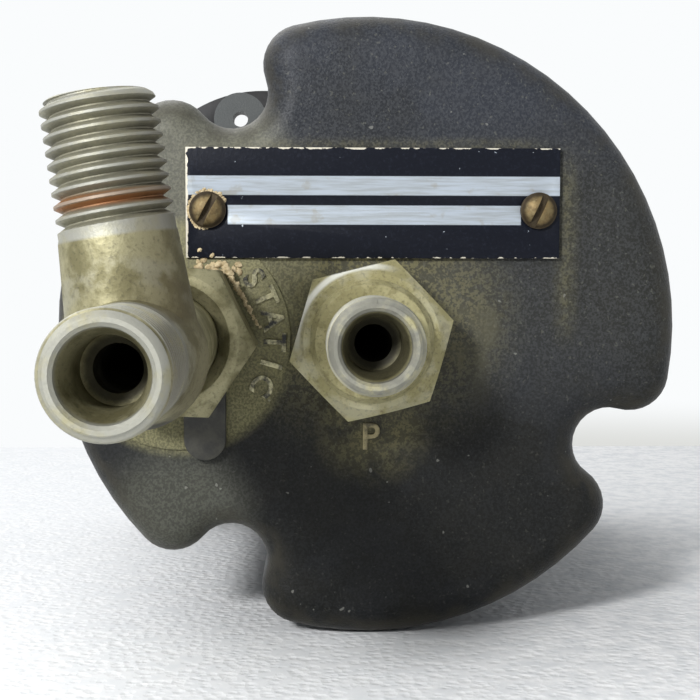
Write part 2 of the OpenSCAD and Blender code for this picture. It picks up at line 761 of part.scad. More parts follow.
// slot in the rear plate for a tail pin that swings about its sector's shaft
module pin_slot(y, r, a0, a1) {
    translate([0, y, z_rear_plate - 1]) linear_extrude(mplate_t + 2)
        polygon(band(r - tail_pin_d / 2 - 0.6, r + tail_pin_d / 2 + 0.6, a0 - 12, a1 + 12, 12));
}

module rear_plate() {
    color([0.72, 0.68, 0.5]) difference() {
        disc(rear_plate_d / 2, z_rear_plate, mplate_t);
        for (y = [0, sector_y, mach_sector_y]) translate([0, y, 0]) disc(bush_r, z_rear_plate - 1, mplate_t + 2);
        for (x = [-pillar_x, pillar_x], y = [-pillar_y, pillar_y]) translate([x, y, 0])
            disc(1.1, z_rear_plate - 1, mplate_t + 2);
        pin_slot(sector_y, tail_r, -sector_sweep / 2, sector_sweep / 2);
        pin_slot(mach_sector_y, mach_tail_r, -mach_sector_sweep / 2, mach_sector_sweep / 2);
        for (x = [-9.5, 9.5]) {
            translate([x, rocker_y, 0]) disc(0.85, z_rear_plate - 1, mplate_t + 2);
            translate([x, mach_rocker_y - 5.2, 0]) disc(0.85, z_rear_plate - 1, mplate_t + 2);
        }
        for (x = [-post_x, post_x]) translate([x, aneroid_y, 0]) disc(1.2, z_rear_plate - 1, mplate_t + 2);
    }
}

module plate_pillars() {
    color([0.7, 0.6, 0.35]) for (x = [-pillar_x, pillar_x], y = [-pillar_y, pillar_y]) translate([x, y, 0])
        difference() {
            union() {
                disc(pillar_d / 2, z_front_back, mplate_gap);
                disc(pillar_d * 0.3, z_front_plate, mplate_t + 0.1);
            }
            disc(1 + screw_clear, z_rear_plate - 6, 7);
        }
}

module pillar_screws() {
    color([0.7, 0.7, 0.7]) for (x = [-pillar_x, pillar_x], y = [-pillar_y, pillar_y])
        translate([x, y, z_rear_back]) mirror([0, 0, 1]) cheese_screw(1.9, 1.3, 1, mplate_t + 5, 40);
}

module movement_screws() {
    color([0.7, 0.7, 0.7]) for (a = boss_angles) at(boss_at, a)
        translate([0, 0, z_front_plate]) cheese_screw(2.2, 1.6, 1.1, mplate_t + 7, a);
}

module pivot_bushes() {
    color([0.75, 0.2, 0.25]) {
        ring(cannon_bush_r, cannon_r + play, z_front_plate, mplate_t);
        for (y = [sector_y, mach_sector_y]) translate([0, y, 0]) {
            ring(bush_r, pivot_r + play, z_front_plate, mplate_t);
            ring(bush_r, pivot_r + play, z_rear_plate, mplate_t);
        }
        ring(bush_r, staff_r + play, z_rear_plate, mplate_t);
    }
}

// toothed fan with a window, a hub and a tail that carries the pin
module sector_gear(n, mesh, sweep, tail, tail_turn, z, pin_z) {
    pitch = 360 / n;
    rim_r = gear_m * n / 2 - tooth_ded * gear_m;
    spare = 2;
    count = ceil(sweep / pitch);
    low = mesh < 180 ? -spare : -count - spare;
    high = mesh < 180 ? count + spare : spare;
    a0 = mesh + (low - 0.5) * pitch;
    a1 = mesh + (high + 0.5) * pitch;
    translate([0, 0, z]) difference() {
        union() {
            linear_extrude(sector_t) polygon(concat(
                [[0, 0], polar(rim_r, a0)], teeth(n, low, high, mesh), [polar(rim_r, a1)]));
            cylinder(r = pivot_r + 1.8, h = sector_t);
            rotate([0, 0, tail_turn]) box(0, tail + 0.9, -1, 1, 0, sector_t);
            rotate([0, 0, tail_turn]) translate([tail, 0, 0]) cylinder(d = tail_pin_d, h = pin_z - z);
            rotate([0, 0, tail_turn]) translate([tail, 0, 0]) cylinder(r = 1.3, h = sector_t);
        }
        translate([0, 0, -1]) cylinder(r = pivot_r, h = sector_t + 2);
        translate([0, 0, -1]) linear_extrude(sector_t + 2)
            polygon(band(pivot_r + 3.4, rim_r - 1.6, a0 + 9, a1 - 9, 8));
    }
}

module airspeed_sector() {
    color([0.75, 0.65, 0.35]) translate([0, sector_y, 0])
        sector_gear(sector_n, 90, sector_sweep, tail_r, sector_sweep / 2, z_sector, tail_end);
}

module airspeed_sector_shaft() {
    color([0.75, 0.75, 0.75]) translate([0, sector_y, 0])
        disc(pivot_r, z_front_plate + 0.3, z_rear_back - z_front_plate - 0.6);
}

module mach_sector() {
    color([0.75, 0.65, 0.35]) translate([0, mach_sector_y, 0])
        sector_gear(mach_sector_n, 270, mach_sector_sweep, mach_tail_r, -mach_sector_sweep / 2,
            z_mach_gear + 0.1, tail_end);
}

module mach_sector_shaft() {
    color([0.75, 0.75, 0.75]) translate([0, mach_sector_y, 0])
        disc(pivot_r, z_front_plate + 0.3, z_rear_back - z_front_plate - 0.6);
}

// shaft across the instrument with a pushed arm and a finger that reaches forward
module rocker(half, axis_y, axis_z, arm_y, tip_x, tip_y, tip_z) {
    run = axis_z - tip_z;
    lift = tip_y - axis_y;
    reach = sqrt(run * run + lift * lift);
    translate([-half, axis_y, axis_z]) rotate([0, 90, 0]) cylinder(r = pivot_r, h = 2 * half);
    translate([0, axis_y, axis_z]) {
        rotate([0, 90, 0]) translate([0, 0, -2]) cylinder(r = pivot_r + 0.7, h = 4);
        box(-1.5, 1.5, min(0, arm_y - axis_y), max(0, arm_y - axis_y), -arm_t / 2, arm_t / 2);
    }
    translate([0, arm_y, axis_z - arm_t / 2]) cylinder(r = 1.5, h = arm_t);
    translate([tip_x, axis_y, axis_z]) {
        rotate([0, 90, 0]) translate([0, 0, -1.2]) cylinder(r = pivot_r + 0.7, h = 2.4);
        rotate([atan2(lift, run), 0, 0]) box(-1.2, 1.2, -arm_t / 2, arm_t / 2, -reach, 0);
    }
}

// folded sheet bracket with two bearing ears
module bracket(ear_x, base_y0, base_y1, axis_y, axis_z) {
    top = axis_z + ear_half;
    difference() {
        union() {
            box(-ear_x - sheet_t, ear_x + sheet_t, base_y0, base_y1, z_rear_back, z_rear_back + sheet_t);
            for (s = [-1, 1]) {
                box(s > 0 ? ear_x : -ear_x - sheet_t, s > 0 ? ear_x + sheet_t : -ear_x,
                    min(base_y0, axis_y - ear_half), max(base_y1, axis_y + ear_half), z_rear_back, top);
            }
        }
        translate([-ear_x - 5, axis_y, axis_z]) rotate([0, 90, 0])
            cylinder(r = pivot_r + play, h = 2 * ear_x + 10);
        for (x = [-9.5, 9.5]) translate([x, (base_y0 + base_y1) / 2, 0]) disc(0.9, z_rear_back - 1, sheet_t + 2);
    }
}

module airspeed_rocker() {
    color([0.75, 0.75, 0.75])
        rocker(bracket_ear + sheet_t + 0.5, rocker_y, z_rocker, port_y, tail_x, finger_y, z_finger);
}

module airspeed_bracket() {
    color([0.7, 0.6, 0.35]) bracket(bracket_ear, rocker_y - 3, rocker_y + 3, rocker_y, z_rocker);
}

module mach_rocker() {
    color([0.75, 0.75, 0.75])
        rocker(mach_bracket_ear + sheet_t + 0.5, mach_rocker_y, z_mach_rocker, aneroid_y,
            mach_tail_x, mach_finger_y, z_finger);
}

module mach_bracket() {
    color([0.7, 0.6, 0.35])
        bracket(mach_bracket_ear, mach_rocker_y - 7.7, mach_rocker_y - 2.7, mach_rocker_y, z_mach_rocker);
}

module bracket_screws() {
    color([0.7, 0.7, 0.7]) for (x = [-9.5, 9.5], y = [rocker_y, mach_rocker_y - 5.2])
        translate([x, y, z_rear_back + sheet_t]) mirror([0, 0, 1])
            cheese_screw(1.5, 1, 0.8, sheet_t + mplate_t, 15);
}

module airspeed_capsule() {
    color([0.72, 0.6, 0.4]) translate([0, port_y, z_capsule]) difference() {
        union() {
            rotate_extrude() polygon(capsule_section(capsule_d / 2, 0.5, 2.4, 0.5, 4));
            disc(link_d / 2 + 1.4, -4.5, 9);
        }
        disc(link_d / 2 + play, -6, 8);
        disc(1.5, 1.9, 4);
    }
}

module capsule_stem() {
    color([0.7, 0.6, 0.35]) translate([0, port_y, 0])
        ring(3.5, 1.5, z_capsule + 4.5, z_rear - port_len - z_capsule - 4.5);
}

module airspeed_link() {
    color([0.75, 0.75, 0.75]) translate([0, port_y, 0]) {
        disc(link_d / 2, z_rocker + arm_t / 2 + link_gap + 0.6, z_capsule + 1.5 - z_rocker - arm_t / 2 - link_gap - 0.6);
        translate([0, 0, z_rocker + arm_t / 2 + link_gap])
            cylinder(r1 = link_d / 2 - 0.7, r2 = link_d / 2, h = 0.6);
    }
}

module aneroid_capsule() {
    color([0.72, 0.6, 0.4]) translate([0, aneroid_y, 0]) difference() {
        union() {
            for (z = [z_bridge - 3, z_bridge - 7.6]) translate([0, 0, z])
                rotate_extrude() polygon(capsule_section(aneroid_d / 2, 0.4, 1.9, 0.35, 3));
            disc(link_d / 2 + 1.4, z_bridge - 10.8, 10.8);
        }
        disc(link_d / 2 + play, z_bridge - 12, 8);
    }
}

module aneroid_link() {
    top = z_mach_rocker + arm_t / 2 + link_gap;
    color([0.75, 0.75, 0.75]) translate([0, aneroid_y, 0]) {
        disc(link_d / 2, top + 0.6, z_bridge - 4.5 - top - 0.6);
        translate([0, 0, top]) cylinder(r1 = link_d / 2 - 0.7, r2 = link_d / 2, h = 0.6);
    }
}

module aneroid_bridge() {
    color([0.7, 0.6, 0.35]) difference() {
        box(-post_x - post_r - 0.5, post_x + post_r + 0.5, aneroid_y - 4.5, aneroid_y + 4.5, z_bridge, z_bridge + 2);
        for (x = [-post_x, post_x]) translate([x, aneroid_y, 0]) disc(1.2, z_bridge - 1, 4);
    }
}

module aneroid_posts() {
    color([0.7, 0.7, 0.7]) for (x = [-post_x, post_x]) translate([x, aneroid_y, 0]) {
        disc(post_r, z_rear_back, z_bridge - z_rear_back);
        disc(1.2, z_rear_plate, z_bridge + 2 - z_rear_plate);
    }
}

upright() case();
upright() bezel();
upright() cover_glass();
upright() glass_gasket();
upright() glass_retainer();
upright() case_seal();
upright() bezel_screws();
upright() name_plate();
upright() name_plate_screws();
upright() pitot_union();
upright() pitot_seal();
upright() static_tee();
upright() static_lock_nut();
upright() static_tab_washer();
upright() static_seal();
upright() airspeed_dial();
upright() dial_posts();
upright() dial_screws();
upright() mach_dial();
upright() mach_cannon();
upright() airspeed_pointer();
upright() pointer_staff();
upright() hairspring();
upright() hairspring_collet();
upright() hairspring_stud();
upright() front_plate();
upright() rear_plate();
upright() plate_pillars();
upright() pillar_screws();
upright() movement_screws();
upright() pivot_bushes();
upright() airspeed_sector();
upright() airspeed_sector_shaft();
upright() airspeed_rocker();
upright() airspeed_bracket();
upright() airspeed_link();
upright() airspeed_capsule();
upright() capsule_stem();
upright() mach_sector();
upright() mach_sector_shaft();
upright() mach_rocker();
upright() mach_bracket();
upright() aneroid_link();
upright() aneroid_capsule();
upright() aneroid_bridge();
upright() aneroid_posts();
upright() bracket_screws();
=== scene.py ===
"""Looks of an aircraft airspeed and Mach indicator, seen from its rear face.

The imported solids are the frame. The pieces that show are copied from them, softened, threaded and
given finishes with wear and dust. Everything is in metres in the row frame: +Y out of the panel to
the pilot, +Z up, +X to the right as seen from the rear.
"""
import json
import math
import random
from contextlib import contextmanager

import bpy
from bpy.props import FloatProperty, FloatVectorProperty, IntProperty, PointerProperty
from mathutils import Matrix, Vector


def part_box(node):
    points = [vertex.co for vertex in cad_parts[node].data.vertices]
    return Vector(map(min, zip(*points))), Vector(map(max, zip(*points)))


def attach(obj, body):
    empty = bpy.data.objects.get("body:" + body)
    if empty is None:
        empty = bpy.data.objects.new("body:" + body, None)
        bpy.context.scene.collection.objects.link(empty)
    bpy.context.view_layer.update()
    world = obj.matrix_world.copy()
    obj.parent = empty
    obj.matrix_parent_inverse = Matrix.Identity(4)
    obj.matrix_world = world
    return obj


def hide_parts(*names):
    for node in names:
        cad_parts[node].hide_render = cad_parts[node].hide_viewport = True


bl_info = {
    "name": "Airspeed indicator looks",
    "version": (1, 0, 0),
    "blender": (4, 5, 0),
    "location": "View3D > Sidebar > Airspeed",
    "description": "Dresses the packed airspeed indicator and sets its stage",
    "category": "Object",
}

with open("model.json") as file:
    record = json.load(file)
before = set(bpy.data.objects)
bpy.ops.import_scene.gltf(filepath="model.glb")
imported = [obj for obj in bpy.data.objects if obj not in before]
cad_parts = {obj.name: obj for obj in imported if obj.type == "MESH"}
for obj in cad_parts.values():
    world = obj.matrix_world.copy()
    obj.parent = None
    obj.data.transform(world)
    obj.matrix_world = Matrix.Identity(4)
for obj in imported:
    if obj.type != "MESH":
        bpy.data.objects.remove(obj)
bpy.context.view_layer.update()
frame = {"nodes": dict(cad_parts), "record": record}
NODES = frame["nodes"]
MOUNTS = {mount["name"]: mount for mount in frame["record"]["mounts"]}
BODY_OF = {node: body for body, nodes in frame["record"]["behaviour"]["bodies"].items() for node in nodes}
SLOT_OF = {part["node"]: part["material_slot"] for part in frame["record"]["subparts"]}
MM = 0.001

# Heights along the case axis, and the two ports on the rear face
REAR_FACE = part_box("name_plate")[1].y
PLATE_LOW, PLATE_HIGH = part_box("name_plate")
PORT_HEIGHT = MOUNTS["pitot_thread"]["pos_m"][2]
STATIC_X = MOUNTS["static_rear_thread"]["pos_m"][0]
LUG_X, _, LUG_Z = MOUNTS["flange_hole_upper_left"]["pos_m"]

# Dusty or worn spots on the case: x and z of the middle, outer and inner radius
LUG_SPOT = (LUG_X, LUG_Z, 9 * MM, 6 * MM)
PITOT_SPOT = (0.5 * MM, PORT_HEIGHT + 2 * MM, 21 * MM, 9 * MM)
STATIC_SPOT = (STATIC_X, PORT_HEIGHT, 15.5 * MM, 13.5 * MM)
PORTS_SPOT = (-11 * MM, 6 * MM, 7 * MM, 3 * MM)
SMUDGE_SPOT = (12 * MM, 0.5 * MM, 5.4 * MM, 3.6 * MM)
RUN_SPOT = (0.5 * MM, -11.5 * MM, 9.5 * MM, 2.5 * MM)
LOBE_SPOT = (-21.5 * MM, 19 * MM, 14 * MM, 9 * MM)
FOOT_SPOT = (-24 * MM, -24 * MM, 12 * MM, 5 * MM)

# Direction of the painted highlight arc on the union's hexagon, towards the key light
KEY_LIGHT_SIDE = (-0.64, 0.0, 0.77)

# Height of a capital letter in its font size, thickness of the dial marks, relief of the port letters' wear
CAPITAL_SHARE = 0.72
INK = 0.06 * MM
LETTER_RELIEF = 0.05 * MM


def srgb(red, green, blue):
    """A colour in 0 to 255, as Blender's linear values."""
    shares = (value / 255 for value in (red, green, blue))
    return tuple(s / 12.92 if s < 0.04045 else ((s + 0.055) / 1.055) ** 2.4 for s in shares)


# Second shades of the finishes, those that the sidebar doesn't offer
OLIVE_VEIL = srgb(41, 41, 36)
PIT_GREY = srgb(114, 114, 104)
HAZE_GREY = srgb(98, 100, 103)
LUG_GREY = srgb(104, 107, 106)
LOBE_DUST = srgb(120, 119, 104)
FOOT_DUST = srgb(108, 109, 98)
PAD_DUST = srgb(142, 138, 100)
PORTS_DUST = srgb(160, 156, 122)
SCRATCH = srgb(170, 170, 162)
FAINT_LETTER = srgb(150, 140, 104)
PALE_OLIVE = srgb(196, 188, 136)
OLIVE_STAIN = srgb(106, 98, 62)
DULL_LIP = srgb(96, 95, 86)
PAINTED_HIGHLIGHT = srgb(214, 214, 205)
PAINTED_SHADE_BROWN = srgb(72, 62, 40)
BRUSHED_GREY = srgb(152, 158, 162)
PLATE_STAIN = srgb(140, 132, 108)
ENAMEL_PAINTED_SHEEN = srgb(38, 42, 54)
CHIPPED_EDGE = srgb(206, 200, 184)
SCREW_DUST = srgb(128, 116, 82)
SLOT_DIRT_AND_SHADE = srgb(34, 26, 16)
DARK_CRUST = srgb(168, 148, 110)
GLASS_GREY = srgb(112, 122, 124)
GLASS_DUST = srgb(150, 152, 146)
WALL = srgb(250, 252, 253)
WALL_DIM = srgb(221, 222, 219)
FOAM_LIT = srgb(254, 254, 254)
FOAM_DIM = srgb(232, 234, 236)


def colour(name, description, default):
    """A colour that the user can change in the sidebar."""
    return FloatVectorProperty(name=name, description=description, subtype="COLOR", size=3,
                               min=0.0, max=1.0, default=default)


def length(name, description, default):
    """A length in metres that the user can change in the sidebar."""
    return FloatProperty(name=name, description=description, unit="LENGTH", precision=5, default=default)


class CaseLooks(bpy.types.PropertyGroup):
    """Finish of the moulded case and of the bezel in front of it."""

    base: colour("Case", "Charcoal of the moulded case", srgb(46, 49, 56))
    # The dark patches colour also carries the painted shade over the lower part of the rear face
    shade: colour("Dark patches", "Darker patches of the moulding", srgb(21, 22, 21))
    dust: colour("Dust", "Olive dust round the ports and along the plate", srgb(124, 119, 86))
    rim: colour("Worn rim", "Brownish wear along the rounded rim", srgb(58, 55, 46))
    bezel: colour("Bezel", "Black paint of the bezel", srgb(38, 38, 39))
    letter_height: length("Letter height", "Height of the moulded port letters", 3.4 * MM)
    letter_depth: length("Letter depth", "How far the port letters stand proud", 0.3 * MM)
    letter: colour("Letters", "Rubbed tops of the port letters", srgb(204, 198, 158))


class FittingLooks(bpy.types.PropertyGroup):
    """Threads and tarnish of the pitot union, the static tee and its nut."""

    plating: colour("Plating", "Dull plating of the fittings", srgb(146, 141, 110))
    tarnish: colour("Tarnish", "Olive tarnish in the plating", srgb(108, 103, 73))
    # The worn colour also paints the highlight band at the chamfer behind each thread
    worn: colour("Worn edge", "Bright metal on crests and rims", srgb(150, 150, 142))
    rust: colour("Rust", "Rust ring in one groove of the upper arm", srgb(146, 92, 44))
    # This colour is dirt, and also painted shade in the thread roots, sockets and bores
    grime: colour("Grime", "Dark dirt in the thread roots and bores", srgb(40, 38, 30))
    pitch: length("Thread pitch", "Advance of the thread in one turn", 1.27 * MM)
    depth: length("Thread depth", "Depth of the groove below the crest", 0.78 * MM)
    steps: IntProperty(name="Steps in a turn", description="Faces round one turn of thread",
                       default=40, min=12)


class PlateLooks(bpy.types.PropertyGroup):
    """Fields of colour on the name plate, and its screws."""

    enamel: colour("Enamel", "Black enamel of the plate", srgb(15, 18, 27))
    silver: colour("Silver", "Bare metal fields of the plate", srgb(168, 177, 187))
    brass: colour("Screws", "Brown brass of the plate's screws", srgb(120, 102, 68))
    crust: colour("Crust", "Tan crust by the left screw and the nut", srgb(214, 196, 158))


class DialLooks(bpy.types.PropertyGroup):
    """Marks on the airspeed dial and on the turning Mach dial."""

    face: colour("Dial face", "Matt black of both dials", srgb(24, 24, 25))
    mark: colour("Marks", "White of the marks, numbers and pointer", srgb(226, 224, 212))
    top_speed: IntProperty(name="Top speed", description="Highest number on the airspeed dial", default=800)
    sweep: FloatProperty(name="Sweep", description="Turn of the pointer from 0 to the top speed",
                         subtype="ANGLE", default=math.radians(300))
    number_height: length("Number size", "Font size of the airspeed numbers", 4.2 * MM)
    marks_radius: length("Marks radius", "Outer end of the airspeed marks, inside the bezel", 30.4 * MM)


class StageLooks(bpy.types.PropertyGroup):
    """Camera, floor and lights."""

    eye: FloatVectorProperty(name="Camera", description="Place of the camera", subtype="TRANSLATION",
                             size=3, default=(-0.00715, -0.2462, 0.0076))
    aim: FloatVectorProperty(name="Aim", description="Point in the middle of the picture",
                             subtype="TRANSLATION", size=3, default=(-0.00236, -0.089, -0.00255))
    roll: FloatProperty(name="Roll", description="Turn of the camera about its own axis",
                        subtype="ANGLE", default=math.radians(0.1))
    lens: FloatProperty(name="Lens", description="Focal length on a 36 mm sensor", default=64.8)
    tilt: FloatProperty(name="Floor tilt", description="Slope of the floor under the flange and the case",
                        subtype="ANGLE", default=math.radians(1.35))
    far_edge: length("Far edge", "Where the foam sheet ends in front of the dial", 0.118)
    foam: colour("Foam", "White foam sheet that the instrument lies on", srgb(240, 241, 242))
    key_power: FloatProperty(name="Key light", description="Power of the light at the upper left",
                             unit="POWER", default=1.3)
    fill: FloatProperty(name="Fill", description="Strength of the even light from all round", default=0.38)


class Shading:
    """Adds nodes to one node tree; a value may be a socket, a number or a colour."""

    def __init__(self, tree):
        self.tree = tree

    def node(self, kind, **settings):
        made = self.tree.nodes.new(kind)
        for key, value in settings.items():
            setattr(made, key, value)
        return made

    def feed(self, socket, value):
        if isinstance(value, bpy.types.NodeSocket):
            self.tree.links.new(value, socket)
        elif socket.type == "RGBA" and len(value) == 3:
            socket.default_value = (*value, 1.0)
        else:
            socket.default_value = value

    def math(self, operation, first, second):
        """One step of arithmetic; sums and differences are held between 0 and 1."""
        made = self.node("ShaderNodeMath", operation=operation, use_clamp=operation in ("ADD", "SUBTRACT"))
        self.feed(made.inputs[0], first)
        self.feed(made.inputs[1], second)
        return made.outputs[0]

    def product(self, first, *others):
        """All of these multiplied together."""
        for other in others:
            first = self.math("MULTIPLY", first, other)
        return first

    def most(self, first, *others):
        """The largest of these."""
        for other in others:
            first = self.math("MAXIMUM", first, other)
        return first

    def blend(self, value, none, full):
        """Runs from none to full as the value runs from 0 to 1."""
        return self.math("ADD", self.math("MULTIPLY", value, full - none), none)

    def ramp(self, value, low, high):
        """0 at low and 1 at high, eased between; low may be the larger one."""
        made = self.node("ShaderNodeMapRange", interpolation_type="SMOOTHSTEP")
        flipped = low > high
        self.feed(made.inputs["Value"], value)
        made.inputs["From Min"].default_value = min(low, high)
        made.inputs["From Max"].default_value = max(low, high)
        made.inputs["To Min"].default_value = 1.0 if flipped else 0.0
        made.inputs["To Max"].default_value = 0.0 if flipped else 1.0
        return made.outputs[0]

    def band(self, value, low, high, edge):
        """1 between low and high, 0 outside, with soft edges."""
        return self.product(self.ramp(value, low - edge, low + edge),
                            self.ramp(value, high + edge, high - edge))

    def mix(self, share, first, second):
        """The first colour where the share is 0, the second where it is 1."""
        made = self.node("ShaderNodeMix", data_type="RGBA")
        self.feed(made.inputs[0], share)
        self.feed(made.inputs[6], first)
        self.feed(made.inputs[7], second)
        return made.outputs[2]


class Finish(Shading):
    """A material whose colour, roughness and relief come from its own nodes, in Object coordinates."""

    def __init__(self, name, metallic=0.0, gloss=0.5):
        self.material = bpy.data.materials.new(name)
        self.material.use_nodes = True
        super().__init__(self.material.node_tree)
        self.shader = self.tree.nodes["Principled BSDF"]
        self.shader.inputs["Metallic"].default_value = metallic
        self.shader.inputs["Specular IOR Level"].default_value = gloss
        self.place = self.node("ShaderNodeTexCoord").outputs["Object"]

    def vector(self, operation, first, second, result="Vector"):
        made = self.node("ShaderNodeVectorMath", operation=operation)
        self.feed(made.inputs[0], first)
        self.feed(made.inputs[1], second)
        return made.outputs[result]

    def axes(self):
        made = self.node("ShaderNodeSeparateXYZ")
        self.feed(made.inputs[0], self.place)
        return made.outputs[0], made.outputs[1], made.outputs[2]

    def noise(self, size, detail=4.0, stretch=(1, 1, 1), turn=(0, 0, 0)):
        """Clouds about size metres across, stretched and turned as given."""
        mapping = self.node("ShaderNodeMapping")
        self.feed(mapping.inputs["Vector"], self.place)
        mapping.inputs["Scale"].default_value = stretch
        mapping.inputs["Rotation"].default_value = [math.radians(angle) for angle in turn]
        made = self.node("ShaderNodeTexNoise")
        self.feed(made.inputs["Vector"], mapping.outputs[0])
        made.inputs["Scale"].default_value = 1 / size
        made.inputs["Detail"].default_value = detail
        made.inputs["Roughness"].default_value = 0.6
        return made.outputs["Fac"]

    def spot(self, x, z, outer, inner):
        """1 within the inner radius of a line along the case axis through x, z; 0 past the outer one."""
        flat = self.vector("MULTIPLY", self.place, (1, 0, 1))
        return self.ramp(self.vector("DISTANCE", flat, (x, 0, z), "Value"), outer, inner)

    def along(self, point, axis):
        """(distance along a line, distance from it) for the line through point."""
        from_point = self.vector("SUBTRACT", self.place, tuple(point))
        reach = self.vector("DOT_PRODUCT", from_point, tuple(axis), "Value")
        made = self.node("ShaderNodeVectorMath", operation="SCALE")
        made.inputs[0].default_value = tuple(axis)
        self.feed(made.inputs["Scale"], reach)
        return reach, self.vector("DISTANCE", from_point, made.outputs[0], "Value")

    def done(self, base, roughness, relief=None, height=0.05 * MM):
        """Connects the shader's colour, roughness and relief and gives the material."""
        self.feed(self.shader.inputs["Base Color"], base)
        self.feed(self.shader.inputs["Roughness"], roughness)
        if relief is not None:
            bump = self.node("ShaderNodeBump")
            bump.inputs["Distance"].default_value = height
            self.feed(bump.inputs["Height"], relief)
            self.feed(self.shader.inputs["Normal"], bump.outputs[0])
        return self.material


class CaseFinish(Finish):
    """Moulded charcoal with a worn rim, olive dust and a few pale scratches."""

    def __init__(self, looks):
        super().__init__("moulded_case", gloss=0.13)
        self.looks = looks
        self.x, self.y, self.z = self.axes()
        self.grain = self.noise(0.3 * MM, 3)
        self.patches = self.noise(4 * MM, 8)
        self.powder = self.ramp(self.grain, 0.42, 0.6)
        # low is 1 towards the bottom of the rear face: painted shade there, and fewer pits, less haze and
        # less dust
        self.low = self.ramp(self.z, 4 * MM, -16 * MM)
        self.rear = self.ramp(self.y, REAR_FACE + 3.5 * MM, REAR_FACE + 0.6 * MM)
        self.pad = self.spot(*STATIC_SPOT)

    def moulding(self):
        """Uneven charcoal with painted shade that darkens it towards the bottom, an olive veil on the
        right, pits, haze and one paler lug.
        """
        clouds = self.ramp(self.noise(14 * MM, 6), 0.38, 0.66)
        # Painted shade: the moulding runs to the dark patches colour towards the bottom, besides its random
        # patches
        patches_and_painted_shade = self.math("ADD", self.product(clouds, 0.45), self.blend(self.low, 0.12, 0.87))
        base = self.mix(patches_and_painted_shade, self.looks.base, self.looks.shade)
        veil = self.product(self.ramp(self.x, 0.0, 24 * MM), self.ramp(self.z, 28 * MM, 15 * MM),
                            self.blend(self.low, 0.7, 0.0))
        base = self.mix(veil, base, OLIVE_VEIL)
        pits = self.product(self.ramp(self.noise(0.55 * MM, 2), 0.63, 0.7), self.blend(self.low, 0.28, 0.1))
        base = self.mix(pits, base, PIT_GREY)
        haze = self.product(self.powder, self.blend(self.low, 0.19, 0.05))
        base = self.mix(haze, base, HAZE_GREY)
        lug = self.product(self.ramp(self.y, -14 * MM, -10 * MM), self.spot(*LUG_SPOT), 0.7)
        return self.mix(lug, base, LUG_GREY)

    def dust(self):
        """Share of olive dust on the rear face: round the ports, along the plate and in two smears."""
        mottle = self.math("ADD", self.product(self.noise(0.75 * MM, 6), 0.55),
                           self.product(self.grain, 0.45))
        speckle = self.ramp(mottle, 0.47, 0.55)
        pitot = self.product(self.spot(*PITOT_SPOT),
                             self.blend(self.ramp(self.x, 2 * MM, 10 * MM), 1.0, 0.7))
        beside_plate = self.product(self.band(self.x, PLATE_HIGH.x, PLATE_HIGH.x + 2 * MM, 1.2 * MM),
                                    self.band(self.z, 0.0, PLATE_HIGH.z - 2 * MM, 4 * MM))
        above_plate = self.product(self.band(self.z, PLATE_HIGH.z, PLATE_HIGH.z + 0.9 * MM, 0.9 * MM),
                                   self.band(self.x, PLATE_LOW.x, PLATE_HIGH.x - 3 * MM, 3 * MM))
        places = self.most(pitot, self.pad, self.product(self.most(beside_plate, above_plate), 0.38))
        dust = self.product(places, self.blend(self.low, 1.0, 0.25), self.blend(speckle, 0.35, 0.89))

        tail = self.product(self.band(self.x, 10 * MM, 15.2 * MM, 1.2 * MM), self.ramp(self.z, 2 * MM, 0.0))
        beside_union = self.product(self.most(self.spot(*SMUDGE_SPOT), tail),
                                    self.ramp(self.z, -13 * MM, -2 * MM), 0.3)
        below_union = self.product(self.spot(*RUN_SPOT), self.ramp(self.z, -3 * MM, -8 * MM),
                                   self.blend(speckle, 0.5, 1.0), 0.72)
        smears = self.product(self.most(beside_union, below_union), self.ramp(self.patches, 0.25, 0.6))
        return self.product(self.most(dust, smears), self.rear, 0.85)

    def powdered(self, base, places, thin, thick, tint):
        """Grainy powder over some places, thin between its grains and thick on them."""
        return self.mix(self.product(places, self.blend(self.powder, thin, thick)), base, tint)

    def made(self):
        """The whole finish: moulding, dust, powder at four places, worn rim, scratches and chips."""
        dust = self.dust()
        base = self.mix(dust, self.moulding(), self.looks.dust)
        lobe = self.product(self.spot(*LOBE_SPOT),
                            self.ramp(self.y, REAR_FACE + 9 * MM, REAR_FACE + 4 * MM))
        base = self.powdered(base, lobe, 0.46, 0.66, LOBE_DUST)
        foot = self.product(self.spot(*FOOT_SPOT),
                            self.ramp(self.y, REAR_FACE + 9 * MM, REAR_FACE + 3 * MM))
        base = self.powdered(base, foot, 0.25, 0.41, FOOT_DUST)
        base = self.powdered(base, self.product(self.pad, self.rear), 0.28, 0.52, PAD_DUST)
        base = self.powdered(base, self.product(self.spot(*PORTS_SPOT), self.rear), 0.28, 0.52, PORTS_DUST)

        rim = self.product(self.band(self.y, REAR_FACE + 0.4 * MM, REAR_FACE + 3.4 * MM, 0.7 * MM),
                           self.ramp(self.patches, 0.36, 0.62), 0.55)
        base = self.mix(rim, base, self.looks.rim)
        scratches = self.ramp(self.noise(1.2 * MM, 2, (1, 1, 0.08), (0, 38, 0)), 0.735, 0.76)
        chips = self.ramp(self.noise(1.3 * MM, 1), 0.775, 0.79)
        base = self.mix(self.product(self.most(scratches, chips), 0.26), base, SCRATCH)
        rough = self.math("ADD", self.product(self.patches, 0.22), self.blend(dust, 0.3, 0.65))
        relief = self.math("ADD", self.grain, self.product(self.patches, 0.8))
        return self.done(base, rough, relief, 0.08 * MM)


